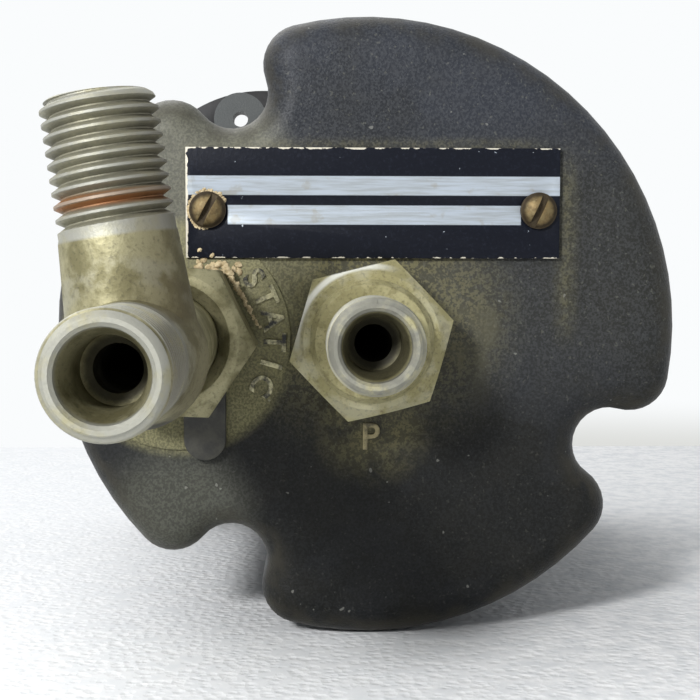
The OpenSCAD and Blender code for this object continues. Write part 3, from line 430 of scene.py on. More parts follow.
def thread_wear(finish, looks, base, clouds, mount, union):
    """Wear and dirt round one thread, with painted shade in its recesses and painted highlights, from its
    lip down to the shoulder behind it.
    """
    upright = mount["axis"][2] > 0.5
    crest = mount["dims"]["r_mm"] * MM
    half = mount["dims"]["length_mm"] * MM / 2
    socket_r = crest - 1.35 * MM
    metal_r = crest - 1.1 * MM
    reach, radius = finish.along(mount["pos_m"], mount["axis"])
    zone = finish.band(reach, -half - 0.3 * MM, half + 0.7 * MM, 0.2 * MM)
    metal = finish.product(zone, finish.ramp(radius, socket_r, metal_r), 0.46 if union or upright else 0.1)
    base = finish.mix(metal, base, looks.worn)
    # Dirt and painted shade: the socket inside the mouth is darkened
    socket = finish.product(finish.ramp(radius, metal_r, socket_r),
                            finish.ramp(reach, half + 0.2 * MM, half - 0.8 * MM), 0.75 if union else 0.2)
    base = finish.mix(socket, base, looks.grime)
    # Dirt and painted shade in the thread roots
    root = finish.product(zone, finish.band(radius, crest - 1.2 * MM, crest - 0.32 * MM, 0.15 * MM), 0.18)
    base = finish.mix(root, base, looks.grime)
    top = finish.product(zone, finish.ramp(radius, crest - 0.16 * MM, crest - 0.03 * MM))
    lip = finish.ramp(reach, half - 0.1 * MM, half + 0.6 * MM)
    worn = finish.product(finish.most(top, lip), finish.ramp(clouds, 0.30, 0.55), 0.85)
    base = finish.mix(worn, base, looks.worn)
    if union:
        dull = finish.product(lip, finish.ramp(clouds, 0.36, 0.6), 0.6)
        base = finish.mix(dull, base, DULL_LIP)
    # Dirt and painted shade deep in the bore
    bore = finish.product(finish.ramp(radius, 3.3 * MM, 2.6 * MM),
                          finish.ramp(reach, half, half - 2 * MM), 0.85)
    base = finish.mix(bore, base, looks.grime)
    # Partly wear and partly a painted highlight: a paler band at the chamfer behind the thread
    shoulder = finish.product(finish.band(radius, 7.4 * MM, 9.6 * MM, 0.5 * MM),
                              finish.ramp(reach, -half - 0.5 * MM, -half - 1.5 * MM),
                              finish.ramp(clouds, 0.58, 0.42), 0.3)
    base = finish.mix(shoulder, base, looks.worn)
    if union:
        # Painted highlight: a bright arc on the upper left of the hexagon, towards the key light
        from_middle = finish.vector("SUBTRACT", finish.place, tuple(mount["pos_m"]))
        to_light = finish.vector("DOT_PRODUCT", from_middle, KEY_LIGHT_SIDE, "Value")
        painted_highlight_arc = finish.product(finish.band(radius, 8.55 * MM, 9.2 * MM, 0.2 * MM),
                             finish.ramp(to_light, 4 * MM, 7.5 * MM), 0.85)
        return finish.mix(painted_highlight_arc, base, PAINTED_HIGHLIGHT)
    if upright:
        ring = finish.product(finish.band(reach, -3.5 * MM, -2.3 * MM, 0.3 * MM),
                              finish.blend(finish.ramp(radius, crest, crest - 0.3 * MM), 0.35, 0.85))
        base = finish.mix(ring, base, looks.rust)
    # Painted shade: the right side of each tee arm, its thread and the body below it, is darkened in brown
    middle = mount["pos_m"][0]
    painted_shade_right = finish.product(finish.band(reach, -half - 9 * MM, half - 0.4 * MM, 0.4 * MM),
                         finish.band(radius, crest - 1.25 * MM, 8.7 * MM, 0.2 * MM),
                         finish.ramp(finish.axes()[0], middle + 0.5 * MM, middle + 6 * MM), 0.45)
    return finish.mix(painted_shade_right, base, PAINTED_SHADE_BROWN)


def fitting_finish(looks, name, threads):
    """Dull plating with olive tarnish and the wear of its threads: the union has one, the nut none."""
    finish = Finish(name, metallic=0.55)
    union = len(threads) == 1
    clouds = finish.noise(3.5 * MM, 6)
    fine = finish.noise(0.4 * MM, 4)
    base = finish.mix(finish.ramp(clouds, 0.40, 0.62), looks.plating, looks.tarnish)
    if union:
        base = finish.mix(0.3, base, PALE_OLIVE)
        stains = finish.product(finish.ramp(finish.noise(1.5 * MM, 7), 0.52, 0.64), 0.5)
        base = finish.mix(stains, base, OLIVE_STAIN)
    base = finish.mix(finish.product(finish.ramp(fine, 0.5, 0.72), 0.4), base, looks.grime)
    for mount in threads:
        base = thread_wear(finish, looks, base, clouds, mount, union)
    relief = finish.math("ADD", fine, finish.product(clouds, 0.6))
    return finish.done(base, finish.blend(clouds, 0.4, 0.7), relief, 0.04 * MM)


def plate_finish(looks):
    """Black enamel with two bare metal fields, chipped along its edges."""
    finish = Finish("name_plate", metallic=0.1, gloss=0.14)
    x, _, z = finish.axes()
    top = PLATE_HIGH.z
    edge = 0.06 * MM
    upper = finish.band(z, top - 5.85 * MM, top - 3.5 * MM, edge)
    lower = finish.product(finish.band(z, top - 9.46 * MM, top - 7.1 * MM, edge),
                           finish.band(x, -17.5 * MM, 18.8 * MM, edge))
    fields = finish.most(upper, lower)
    specks = finish.ramp(finish.noise(0.7 * MM, 2), 0.76, 0.775)

    chipped = 1.0 * MM
    left = finish.ramp(x, PLATE_LOW.x + chipped, PLATE_LOW.x)
    above = finish.product(finish.ramp(z, top - chipped, top),
                           finish.blend(finish.ramp(x, 8 * MM, -4 * MM), 0.84, 0.92))
    below = finish.product(finish.ramp(z, PLATE_LOW.z + chipped, PLATE_LOW.z), 0.84)
    ragged = finish.math("ADD", finish.noise(1.1 * MM, 5), 0.4)
    chips = finish.ramp(finish.product(finish.most(left, above, below), ragged), 0.76, 0.79)

    fine = finish.noise(0.35 * MM, 5)
    brushed = finish.ramp(finish.noise(0.3 * MM, 3, (0.06, 1, 1)), 0.35, 0.7)
    stains = finish.product(finish.ramp(finish.noise(2.2 * MM, 6), 0.56, 0.68), 0.35)
    silver = finish.mix(brushed, looks.silver, BRUSHED_GREY)
    silver = finish.mix(stains, silver, PLATE_STAIN)
    # Painted sheen: a lighter bluish mottle on the black enamel
    enamel = finish.mix(finish.product(finish.ramp(fine, 0.5, 0.8), 0.5), looks.enamel, ENAMEL_PAINTED_SHEEN)
    base = finish.mix(finish.most(fields, specks), enamel, silver)
    base = finish.mix(chips, base, CHIPPED_EDGE)
    relief = finish.math("SUBTRACT", finish.product(fine, 0.35), finish.product(fields, 0.3))
    return finish.done(base, finish.blend(fine, 0.25, 0.5), relief, 0.06 * MM)


def screw_finish(looks, top):
    """Brown brass with dust on it, with dirt and painted shade in the slots and round the heads; top is the
    heads' height.
    """
    finish = Finish("screw_brass", metallic=0.6)
    clouds = finish.noise(0.9 * MM, 6)
    half_brass = tuple(share / 2 for share in looks.brass)
    base = finish.mix(finish.ramp(clouds, 0.35, 0.68), looks.brass, half_brass)
    dust = finish.product(finish.ramp(finish.noise(0.5 * MM, 5), 0.45, 0.62), 0.5)
    base = finish.mix(dust, base, SCREW_DUST)
    # Dirt and painted shade: everything below the tops of the heads is darkened
    dirt_and_shade_deep = finish.product(finish.ramp(finish.axes()[1], top + 0.3 * MM, top + 0.75 * MM), 0.85)
    base = finish.mix(dirt_and_shade_deep, base, SLOT_DIRT_AND_SHADE)
    return finish.done(base, finish.blend(clouds, 0.42, 0.72), clouds, 0.05 * MM)


def plain_finish(name, base, second, metallic, rough, size, stretch=(1, 1, 1), height=0.02 * MM, gloss=0.5):
    """Two shades in clouds of one size, with fine relief, for pieces of one even finish."""
    finish = Finish(name, metallic, gloss)
    clouds = finish.noise(size, 6, stretch)
    fine = finish.noise(size / 8, 3, stretch)
    mixed = finish.mix(finish.ramp(clouds, 0.35, 0.68), base, second)
    smoothest = max(rough - 0.1, 0.0)
    return finish.done(mixed, finish.blend(fine, smoothest, smoothest + 0.2), fine, height)


def glass_finish():
    """Clear cover glass with a faint haze of dust."""
    finish = Finish("glass")
    haze = finish.ramp(finish.noise(9 * MM, 6), 0.4, 0.8)
    finish.feed(finish.shader.inputs["Alpha"], finish.blend(haze, 0.05, 0.08))
    finish.shader.inputs["IOR"].default_value = 1.5
    return finish.done(finish.mix(haze, GLASS_GREY, GLASS_DUST), 0.04)


def pick(*objects):
    """Leaves only these objects selected, the first one active, in object mode."""
    if bpy.context.object and bpy.context.object.mode != "OBJECT":
        bpy.ops.object.mode_set(mode="OBJECT")
    bpy.ops.object.select_all(action="DESELECT")
    for obj in objects:
        obj.select_set(True)
    bpy.context.view_layer.objects.active = objects[0]


def deselect():
    """Nothing stays selected before a new primitive is added."""
    bpy.ops.object.select_all(action="DESELECT")


@contextmanager
def editing(obj):
    """Edit mode with the object's whole mesh selected, and object mode again afterwards."""
    pick(obj)
    bpy.ops.object.mode_set(mode="EDIT")
    bpy.ops.mesh.select_all(action="SELECT")
    yield
    bpy.ops.object.mode_set(mode="OBJECT")


def modify(obj, kind, **settings):
    """Adds one modifier with these settings and applies it."""
    pick(obj)
    modifier = obj.modifiers.new(kind.lower(), kind)
    for key, value in settings.items():
        setattr(modifier, key, value)
    bpy.ops.object.modifier_apply(modifier=modifier.name)


def smooth(obj, degrees):
    """Smooth shading that breaks at edges sharper than this."""
    pick(obj)
    bpy.ops.object.shade_smooth_by_angle(angle=math.radians(degrees))


def fix_place(obj):
    """Moves the object's place, turn and scale into its mesh."""
    pick(obj)
    bpy.ops.object.transform_apply(location=True, rotation=True, scale=True)


def copy_of(node, flat=False):
    """A merged copy of a CAD node's mesh, as one piece; flat joins the triangles of its flat faces."""
    piece = bpy.data.objects.new(node + "_dressed", NODES[node].data.copy())
    piece.data.name = piece.name
    piece.data.materials.clear()
    bpy.context.collection.objects.link(piece)
    pick(piece)
    if piece.data.has_custom_normals:
        bpy.ops.mesh.customdata_custom_splitnormals_clear()
    with editing(piece):
        bpy.ops.mesh.remove_doubles(threshold=1e-7)
        if flat:
            bpy.ops.mesh.dissolve_limited(angle_limit=math.radians(0.5))
    return piece


def soften(obj, width, degrees=35):
    """A small bevel along the sharp edges, then smooth shading."""
    modify(obj, "BEVEL", width=width, segments=2, limit_method="ANGLE", angle_limit=math.radians(degrees),
           harden_normals=False, use_clamp_overlap=True)
    smooth(obj, degrees)


def dress(obj, material, node, stands_for=True):
    """The piece takes this finish, and its body from the node that it dresses."""
    obj.data.materials.clear()
    obj.data.materials.append(material)
    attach(obj, BODY_OF[node])
    if stands_for:
        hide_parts(node)


def paint(material, *nodes):
    """CAD nodes that keep their own mesh take a new finish."""
    for node in nodes:
        for material_slot in NODES[node].material_slots:
            material_slot.material = material


def join(pieces, name):
    """One object made of several."""
    pick(*pieces)
    bpy.ops.object.join()
    joined = bpy.context.object
    joined.name = name
    joined.data.name = name
    return joined


def words(text, height, thick, place, bold=0.0):
    """Raised lettering: a text made a mesh with its own thickness, then set in place by a matrix."""
    deselect()
    bpy.ops.object.text_add()
    piece = bpy.context.object
    piece.data.body = text
    piece.data.size = height / CAPITAL_SHARE
    piece.data.align_x = "CENTER"
    piece.data.align_y = "CENTER"
    piece.data.extrude = thick / 2
    piece.data.offset = bold
    piece.data.bevel_depth = thick / 5
    piece.data.resolution_u = 4
    bpy.ops.object.convert(target="MESH")
    piece = bpy.context.object
    with editing(piece):
        bpy.ops.mesh.remove_doubles(threshold=1e-6)
        bpy.ops.mesh.normals_make_consistent(inside=False)
    piece.matrix_world = place
    fix_place(piece)
    return piece


def facing(x_axis, y_axis, centre):
    """The matrix that takes a drawing's right and up to these directions at this centre."""
    across, up = Vector(x_axis), Vector(y_axis)
    turned = Matrix((across, up, across.cross(up))).transposed().to_4x4()
    return Matrix.Translation(centre) @ turned


def crust_lump(seed, size, centre, squash):
    """One lump of dried dirt: a ball pushed about by clouds, then flattened on its seat."""
    deselect()
    bpy.ops.mesh.primitive_ico_sphere_add(subdivisions=2, radius=1.0)
    lump = bpy.context.object
    clouds = bpy.data.textures.new("crust_clouds", "CLOUDS")
    clouds.noise_scale = 0.55
    clouds.noise_depth = 3
    own_clouds = Vector((seed * 3.7, seed * 1.3, 0))
    lump.location = own_clouds
    fix_place(lump)
    modify(lump, "DISPLACE", texture=clouds, texture_coords="LOCAL", strength=1.1, mid_level=0.5)
    lump.matrix_world = (Matrix.Translation(centre) @ Matrix.Rotation(seed * 2.1, 4, "Y")
                         @ Matrix.Diagonal((size, size * squash, size * 0.7, 1))
                         @ Matrix.Translation(-own_clouds))
    fix_place(lump)
    smooth(lump, 60)
    return lump


def cut_thread(obj, mount, looks):
    """Cuts a helical groove into the plain cylinder that a thread mount names."""
    crest = mount["dims"]["r_mm"] * MM
    half = mount["dims"]["length_mm"] * MM / 2
    root = crest - looks.depth
    over = 0.1 * MM
    flank = math.tan(math.radians(30))
    root_half = 0.05 * looks.pitch
    top_half = root_half + (looks.depth + over) * flank
    deselect()
    bpy.ops.mesh.primitive_plane_add(size=1.0)
    cutter = bpy.context.object
    for vertex in cutter.data.vertices:
        outer = vertex.co.x > 0
        side = 1 if vertex.co.y > 0 else -1
        vertex.co = (crest + over if outer else root, 0.0, side * (top_half if outer else root_half))
    with editing(cutter):
        bpy.ops.mesh.delete(type="ONLY_FACE")
    turns = math.ceil(2 * half / looks.pitch)
    modify(cutter, "SCREW", axis="Z", screw_offset=looks.pitch, iterations=turns, steps=looks.steps,
           render_steps=looks.steps, use_merge_vertices=False)
    with editing(cutter):
        bpy.ops.mesh.fill_holes(sides=4)
        bpy.ops.mesh.select_all(action="SELECT")
        bpy.ops.mesh.normals_make_consistent(inside=False)
    axis = Vector(mount["axis"])
    start = Vector(mount["pos_m"]) - axis * (half - 0.6 * looks.pitch)
    away = Vector((0, 0, 1)) if abs(axis.y) > 0.5 else Vector((0, 1, 0))
    first = (away - axis * away.dot(axis)).normalized()
    cutter.matrix_world = facing(first, axis.cross(first), start)
    fix_place(cutter)
    modify(obj, "BOOLEAN", operation="DIFFERENCE", solver="EXACT", object=cutter)
    bpy.data.objects.remove(cutter)


class AIRSPEED_OT_case(bpy.types.Operator):
    """Dress the moulded case and add the port letters"""

    bl_idname = "airspeed.case"
    bl_label = "Case"

    def execute(self, context):
        looks = context.scene.airspeed_case
        case = copy_of("case")
        smooth(case, 38)
        modify(case, "WEIGHTED_NORMAL", keep_sharp=True)
        dress(case, CaseFinish(looks).made(), "case")
        height, thick = looks.letter_height, looks.letter_depth
        sunk = thick * 0.2
        pitot_place = (0.2 * MM, REAR_FACE - sunk, -13.6 * MM)
        pitot = words("P", height, thick, facing((1, 0, 0), (0, 0, 1), pitot_place))
        pitot.name = "pitot_letter"
        faint = plain_finish("faint_letter", FAINT_LETTER, looks.shade, 0.0, 0.7, 1.6 * MM,
                             height=LETTER_RELIEF)
        dress(pitot, faint, "case", stands_for=False)

        rubbed = plain_finish("rubbed_letters", looks.letter, looks.shade, 0.0, 0.6, 1.1 * MM,
                              height=LETTER_RELIEF)
        letters = []
        ring = 11.95 * MM
        first_angle, letter_step = 38, 13.5
        small, bold = height * 0.8, 0.05 * MM
        pad_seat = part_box("case")[0].y - sunk
        for place, letter in enumerate("STATIC"):
            angle = math.radians(first_angle - letter_step * place)
            centre = (STATIC_X + ring * math.cos(angle), pad_seat, PORT_HEIGHT + ring * math.sin(angle))
            up = (math.cos(angle), 0, math.sin(angle))
            across = (math.sin(angle), 0, -math.cos(angle))
            letters.append(words(letter, small, thick, facing(across, up, centre), bold))
        dress(join(letters, "port_letters"), rubbed, "case", stands_for=False)
        return {"FINISHED"}


class AIRSPEED_OT_fittings(bpy.types.Operator):
    """Thread and finish the pitot union, the static tee, its nut and washer, and the seals"""

    bl_idname = "airspeed.fittings"
    bl_label = "Fittings"

    def execute(self, context):
        looks = context.scene.airspeed_fitting
        threads = {
            "pitot_union": ["pitot_thread"],
            "static_tee": ["static_rear_thread", "static_top_thread"],
        }
        for node, names in threads.items():
            mounts = [MOUNTS[name] for name in names]
            piece = copy_of(node)
            for mount in mounts:
                cut_thread(piece, mount, looks)
            smooth(piece, 32)
            dress(piece, fitting_finish(looks, node + "_plating", mounts), node)
        nut = copy_of("static_lock_nut", flat=True)
        soften(nut, 0.15 * MM)
        dress(nut, fitting_finish(looks, "lock_nut_plating", []), "static_lock_nut")
        washer = copy_of("static_tab_washer", flat=True)
        soften(washer, 0.1 * MM)
        steel = plain_finish("washer_steel", srgb(52, 51, 44), srgb(34, 34, 31), 0.2, 0.6, 2 * MM)
        dress(washer, steel, "static_tab_washer")
        rubber = plain_finish("black_rubber", srgb(30, 30, 30), srgb(42, 42, 41), 0.0, 0.75, 2 * MM)
        paint(rubber, "glass_gasket", "case_seal", "pitot_seal", "static_seal")
        return {"FINISHED"}


class AIRSPEED_OT_name_plate(bpy.types.Operator):
    """Dress the bare name plate, its screws and the crust beside them"""

    bl_idname = "airspeed.name_plate"
    bl_label = "Name plate"

    def execute(self, context):
        looks = context.scene.airspeed_plate
        plate = copy_of("name_plate", flat=True)
        soften(plate, 0.08 * MM)
        dress(plate, plate_finish(looks), "name_plate")
        screws = copy_of("name_plate_screws", flat=True)
        soften(screws, 0.12 * MM)
        dress(screws, screw_finish(looks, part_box("name_plate_screws")[0].y), "name_plate_screws")
        self.crust(looks)
        return {"FINISHED"}

    def crust(self, looks):
        """Dried dirt round the left screw, at the plate's lower left corner and along the nut's edge."""
        head_low, head_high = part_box("name_plate_screws")
        head_r = (head_high.z - head_low.z) / 2
        screw = Vector((head_low.x + head_r, PLATE_LOW.y, (head_low.z + head_high.z) / 2))
        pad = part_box("case")[0].y
        spots = []
        scatter = random.Random(11)
        screw_steps, corner_steps, edge_steps = 44, 22, 22
        for step in range(screw_steps):
            angle = math.radians(30 + 5.5 * step + scatter.uniform(-4, 4))
            reach = head_r + scatter.uniform(-0.02, 0.24) * MM
            place = screw + Vector((reach * math.cos(angle), 0, reach * math.sin(angle)))
            spots.append((place, scatter.uniform(0.16, 0.34) * MM))
        for _ in range(corner_steps):
            place = Vector((scatter.gauss(-18.9, 1.3) * MM, pad, scatter.gauss(8.1, 0.5) * MM))
            if place.z > PLATE_LOW.z:
                place.y = PLATE_LOW.y
            spots.append((place, scatter.uniform(0.3, 0.62) * MM))
        edge_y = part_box("static_lock_nut")[1].y - 0.3 * MM
        edge_top = Vector((-17.9 * MM, edge_y, 7.7 * MM))
        edge_low = Vector((-13.9 * MM, edge_y, 0.4 * MM))
        for step in range(edge_steps):
            aside = Vector((scatter.uniform(0.1, 0.4) * MM, 0, 0))
            largest = (0.62 - 0.016 * step) * MM
            place = edge_top.lerp(edge_low, step / (edge_steps - 1)) + aside
            spots.append((place, largest * scatter.uniform(0.6, 1.0)))
        squash = 0.55
        lumps = [crust_lump(index + 1, size, place, squash) for index, (place, size) in enumerate(spots)]
        tan = plain_finish("dirt_crust", looks.crust, DARK_CRUST, 0.0, 0.9, 0.7 * MM, height=0.12 * MM)
        dress(join(lumps, "dirt_crust"), tan, "case", stands_for=False)


class AIRSPEED_OT_bezel(bpy.types.Operator):
    """Dress the bezel, its screws, the glass and the parts that hold it"""

    bl_idname = "airspeed.bezel"
    bl_label = "Bezel and glass"

    def execute(self, context):
        looks = context.scene.airspeed_case
        worn = srgb(54, 54, 55)
        black = plain_finish("black_bezel", looks.bezel, worn, 0.0, 0.45, 5 * MM,
                             height=0.03 * MM, gloss=0.2)
        bezel = copy_of("bezel", flat=True)
        soften(bezel, 0.3 * MM)
        dress(bezel, black, "bezel")
        steel = plain_finish("dark_steel", srgb(70, 69, 66), srgb(44, 43, 42), 0.8, 0.4, 2 * MM)
        screws = copy_of("bezel_screws", flat=True)
        soften(screws, 0.12 * MM)
        dress(screws, steel, "bezel_screws")
        paint(steel, "glass_retainer")
        glass = copy_of("cover_glass", flat=True)
        soften(glass, 0.3 * MM)
        dress(glass, glass_finish(), "cover_glass")
        return {"FINISHED"}


class AIRSPEED_OT_dials(bpy.types.Operator):
    """Mark the airspeed dial and the Mach dial and finish the pointer"""

    bl_idname = "airspeed.dials"
    bl_label = "Dials and pointer"

    # Airspeed marks, the longest first: every so many units, length and width
    MARKS = ((100, 3.2 * MM, 0.6 * MM), (50, 2.4 * MM, 0.35 * MM), (10, 1.5 * MM, 0.35 * MM))

    def tick(self, width, reach, radius, angle, level):
        """One raised mark that points at the dial's middle."""
        deselect()
        bpy.ops.mesh.primitive_plane_add(size=1.0)
        mark = bpy.context.object
        mark.scale = (width, reach, 1.0)
        fix_place(mark)
        with editing(mark):
            bpy.ops.mesh.extrude_region_move(TRANSFORM_OT_translate={"value": (0, 0, INK)})
            bpy.ops.mesh.select_all(action="SELECT")
            bpy.ops.mesh.normals_make_consistent(inside=False)
        mark.matrix_world = self.spot(radius, angle, level, upright=False)
        fix_place(mark)
        return mark

    def spot(self, radius, angle, level, upright):
        """Place on a dial seen from the front, clockwise from the top; +X is on the viewer's left."""
        outward = Vector((-math.sin(angle), 0, math.cos(angle)))
        up = Vector((0, 0, 1)) if upright else outward
        across = Vector((-1, 0, 0)) if upright else Vector((-math.cos(angle), 0, -math.sin(angle)))
        return facing(across, up, outward * radius + Vector((0, level, 0)))

    def execute(self, context):
        looks = context.scene.airspeed_dial
        black = plain_finish("black_dial", looks.face, srgb(32, 32, 32), 0.0, 0.7, 1.5 * MM)
        white = plain_finish("white_pointer", looks.mark, srgb(205, 200, 184), 0.0, 0.6, 1.2 * MM)
        for node in ("airspeed_dial", "mach_dial", "dial_screws"):
            piece = copy_of(node, flat=True)
            soften(piece, 0.06 * MM)
            dress(piece, black, node)
        pointer = copy_of("airspeed_pointer", flat=True)
        soften(pointer, 0.12 * MM)
        dress(pointer, white, "airspeed_pointer")

        rim = looks.marks_radius
        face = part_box("airspeed_dial")[1].y
        marks = []
        for speed in range(0, looks.top_speed + 1, 10):
            angle = looks.sweep * speed / looks.top_speed
            reach, width = next(sizes for every, *sizes in self.MARKS if speed % every == 0)
            marks.append(self.tick(width, reach, rim - reach / 2, angle, face))
        for speed in range(0, looks.top_speed + 1, 100):
            angle = looks.sweep * speed / looks.top_speed
            place = self.spot(rim - 6.4 * MM, angle, face + INK / 2, upright=True)
            height = looks.number_height if speed else looks.number_height * 0.9
            marks.append(words(str(speed), height * CAPITAL_SHARE, INK, place))
        dress(join(marks, "airspeed_marks"), white, "airspeed_dial", stands_for=False)

        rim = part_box("mach_dial")[1].z
        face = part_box("mach_dial")[1].y
        marks = []
        tenths = 10
        lowest = 0.5
        for half_tenth in range(2 * tenths):
            angle = math.tau * half_tenth / (2 * tenths)
            marks.append(self.tick(0.3 * MM, 1.2 * MM, rim - 1.0 * MM, angle, face))
        for tenth in range(tenths):
            place = self.spot(rim - 3.6 * MM, math.tau * tenth / tenths, face + INK / 2, upright=False)
            marks.append(words("%.1f" % (lowest + tenth / 10), 1.7 * MM, INK, place))
        dress(join(marks, "mach_marks"), white, "mach_dial", stands_for=False)
        return {"FINISHED"}


class AIRSPEED_OT_movement(bpy.types.Operator):
    """Finish the plates, gears, spring, bushes and capsules inside the case"""

    bl_idname = "airspeed.movement"
    bl_label = "Movement"

    def execute(self, context):
        # Two shades, share of metal, roughness, size of the clouds and their stretch
        kinds = {
            "movement_brass": (srgb(190, 160, 98), srgb(164, 134, 78), 0.85, 0.36, 2 * MM, (0.1, 1, 1)),
            "movement_steel": (srgb(176, 178, 180), srgb(140, 142, 146), 0.9, 0.32, 1.5 * MM, (1, 0.15, 1)),
            "blued_spring": (srgb(52, 74, 122), srgb(70, 62, 112), 0.85, 0.3, 1.5 * MM),
            "jewel": (srgb(176, 34, 52), srgb(140, 22, 40), 0.0, 0.12, 0.8 * MM),
            "capsule_metal": (srgb(186, 172, 138), srgb(160, 148, 120), 0.8, 0.38, 3 * MM, (1, 0.2, 1)),
        }
        finishes = {name: plain_finish(name, *kind) for name, kind in kinds.items()}
        for node, slot in SLOT_OF.items():
            if slot in finishes:
                paint(finishes[slot], node)
        # Painted shade: the capsule, its stem and link, seen deep inside the inlet, are near-black and matt
        # instead of metal
        inlet_shade = plain_finish("inlet_painted_shade", srgb(30, 27, 22), srgb(16, 15, 12), 0.0, 0.95, 1.5 * MM,
                             gloss=0.05)
        paint(inlet_shade, "capsule_stem", "airspeed_capsule", "airspeed_link")
        return {"FINISHED"}


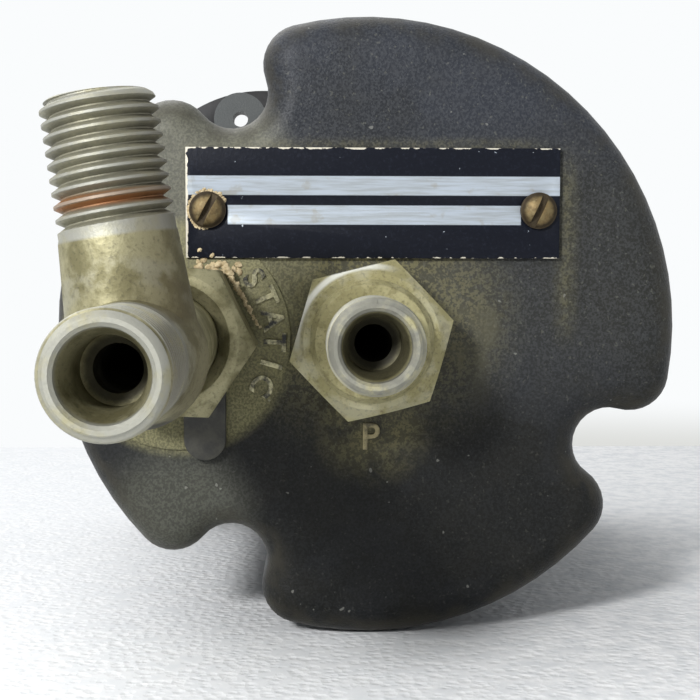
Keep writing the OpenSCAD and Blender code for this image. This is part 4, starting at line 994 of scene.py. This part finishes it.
class AIRSPEED_OT_stage(bpy.types.Operator):
    """Set the foam floor, the white backdrop, the lights and the camera"""

    bl_idname = "airspeed.stage"
    bl_label = "Stage"

    # Lamps: place, point that they are aimed at, diameter and share of the key light's power
    LAMPS = {
        "key": ((-0.16, -0.37, 0.14), (0, -0.10, 0.01), 0.06, 1.0),
        "front": ((-0.20, 0.16, 0.42), (0, 0, 0), 0.6, 1.45),
    }
    SHEET_WIDTH = 1.6
    SHEET_LENGTH = 1.0

    def lamp(self, name, place, aim, size, power):
        """One round area lamp aimed at a point."""
        deselect()
        bpy.ops.object.light_add(type="AREA", location=place)
        lamp = bpy.context.object
        lamp.name = name
        lamp.data.shape = "DISK"
        lamp.data.size = size
        lamp.data.energy = power
        lamp.rotation_euler = (Vector(aim) - Vector(place)).to_track_quat("-Z", "Y").to_euler()

    def floor(self, looks):
        """The foam sheet under the flange, tilted a little."""
        deselect()
        middle = (0, looks.far_edge - self.SHEET_LENGTH / 2, 0)
        bpy.ops.mesh.primitive_plane_add(size=1.0, location=middle)
        sheet = bpy.context.object
        sheet.name = "foam_floor"
        sheet.scale = (self.SHEET_WIDTH, self.SHEET_LENGTH, 1.0)
        fix_place(sheet)
        clear_of_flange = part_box("bezel")[0].z - 0.1 * MM
        sheet.matrix_world = (Matrix.Translation((0, 0, clear_of_flange))
                              @ Matrix.Rotation(-looks.tilt, 4, "X"))
        fix_place(sheet)
        finish = Finish("white_foam")
        cells = finish.node("ShaderNodeTexVoronoi", feature="F1")
        finish.feed(cells.inputs["Vector"], finish.place)
        cells.inputs["Scale"].default_value = 1 / (1.3 * MM)
        lumps = finish.noise(3 * MM, 4)
        # Painted light: the foam is paler towards the right
        foam_with_painted_light = finish.mix(finish.ramp(finish.axes()[0], -5 * MM, 35 * MM), looks.foam, FOAM_LIT)
        tone = finish.mix(finish.ramp(lumps, 0.35, 0.7), foam_with_painted_light, FOAM_DIM)
        relief = finish.math("ADD", finish.product(cells.outputs["Distance"], 0.8), lumps)
        sheet.data.materials.append(finish.done(tone, 0.8, relief, 0.25 * MM))

    def sky(self, looks):
        """Even light from all round; the camera sees a white wall that dims near the floor on the right."""
        world = bpy.data.worlds.new("white_room")
        world.use_nodes = True
        nodes = world.node_tree.nodes
        shading = Shading(world.node_tree)
        light = nodes["Background"]
        light.inputs["Color"].default_value = (0.94, 0.97, 1.0, 1.0)
        light.inputs["Strength"].default_value = looks.fill
        view = shading.node("ShaderNodeSeparateXYZ")
        shading.feed(view.inputs[0], shading.node("ShaderNodeTexCoord").outputs["Generated"])
        dim = shading.product(shading.ramp(view.outputs["Z"], -0.098, -0.139),
                              shading.ramp(view.outputs["X"], 0.02, 0.15))
        seen = shading.node("ShaderNodeBackground")
        shading.feed(seen.inputs["Color"], shading.mix(dim, WALL, WALL_DIM))
        path = shading.node("ShaderNodeLightPath")
        looking = [path.outputs[ray] for ray in ("Is Camera Ray", "Is Transmission Ray", "Is Glossy Ray")]
        choose = shading.node("ShaderNodeMixShader")
        shading.feed(choose.inputs[0], shading.most(*looking))
        shading.feed(choose.inputs[1], light.outputs[0])
        shading.feed(choose.inputs[2], seen.outputs[0])
        shading.feed(nodes["World Output"].inputs["Surface"], choose.outputs[0])
        bpy.context.scene.world = world

    def camera(self, looks):
        """The camera that has the photograph's view."""
        deselect()
        bpy.ops.object.camera_add(location=looks.eye)
        camera = bpy.context.object
        camera.data.lens = looks.lens
        camera.data.sensor_width = 36
        camera.data.clip_start = 0.005
        aim = (Vector(looks.aim) - Vector(looks.eye)).to_track_quat("-Z", "Y")
        camera.rotation_mode = "QUATERNION"
        camera.rotation_quaternion = aim @ Matrix.Rotation(looks.roll, 4, "Z").to_quaternion()
        bpy.context.scene.camera = camera

    def execute(self, context):
        looks = context.scene.airspeed_stage
        self.floor(looks)
        self.sky(looks)
        for name, (place, aim, size, share) in self.LAMPS.items():
            self.lamp(name, place, aim, size, looks.key_power * share)
        self.camera(looks)
        context.scene.view_settings.view_transform = "Standard"
        return {"FINISHED"}


OPERATORS = (AIRSPEED_OT_case, AIRSPEED_OT_fittings, AIRSPEED_OT_name_plate, AIRSPEED_OT_bezel,
             AIRSPEED_OT_dials, AIRSPEED_OT_movement, AIRSPEED_OT_stage)
LOOKS = {"airspeed_case": CaseLooks, "airspeed_fitting": FittingLooks, "airspeed_plate": PlateLooks,
         "airspeed_dial": DialLooks, "airspeed_stage": StageLooks}


class AIRSPEED_PT_panel(bpy.types.Panel):
    """Lists the operators and the looks that a user can change"""

    bl_idname = "AIRSPEED_PT_panel"
    bl_label = "Airspeed indicator"
    bl_space_type = "VIEW_3D"
    bl_region_type = "UI"
    bl_category = "Airspeed"

    def draw(self, context):
        for operator in OPERATORS:
            self.layout.operator(operator.bl_idname)
        for name, group in LOOKS.items():
            box = self.layout.box()
            for key in group.__annotations__:
                box.prop(getattr(context.scene, name), key)


def register():
    for group in (*LOOKS.values(), *OPERATORS, AIRSPEED_PT_panel):
        bpy.utils.register_class(group)
    for name, group in LOOKS.items():
        setattr(bpy.types.Scene, name, PointerProperty(type=group))


def unregister():
    for name in LOOKS:
        delattr(bpy.types.Scene, name)
    for group in (AIRSPEED_PT_panel, *reversed(OPERATORS), *LOOKS.values()):
        bpy.utils.unregister_class(group)


def main():
    register()
    bpy.ops.airspeed.case()
    bpy.ops.airspeed.fittings()
    bpy.ops.airspeed.name_plate()
    bpy.ops.airspeed.bezel()
    bpy.ops.airspeed.dials()
    bpy.ops.airspeed.movement()
    bpy.ops.airspeed.stage()


if __name__ == "__main__":
    main()
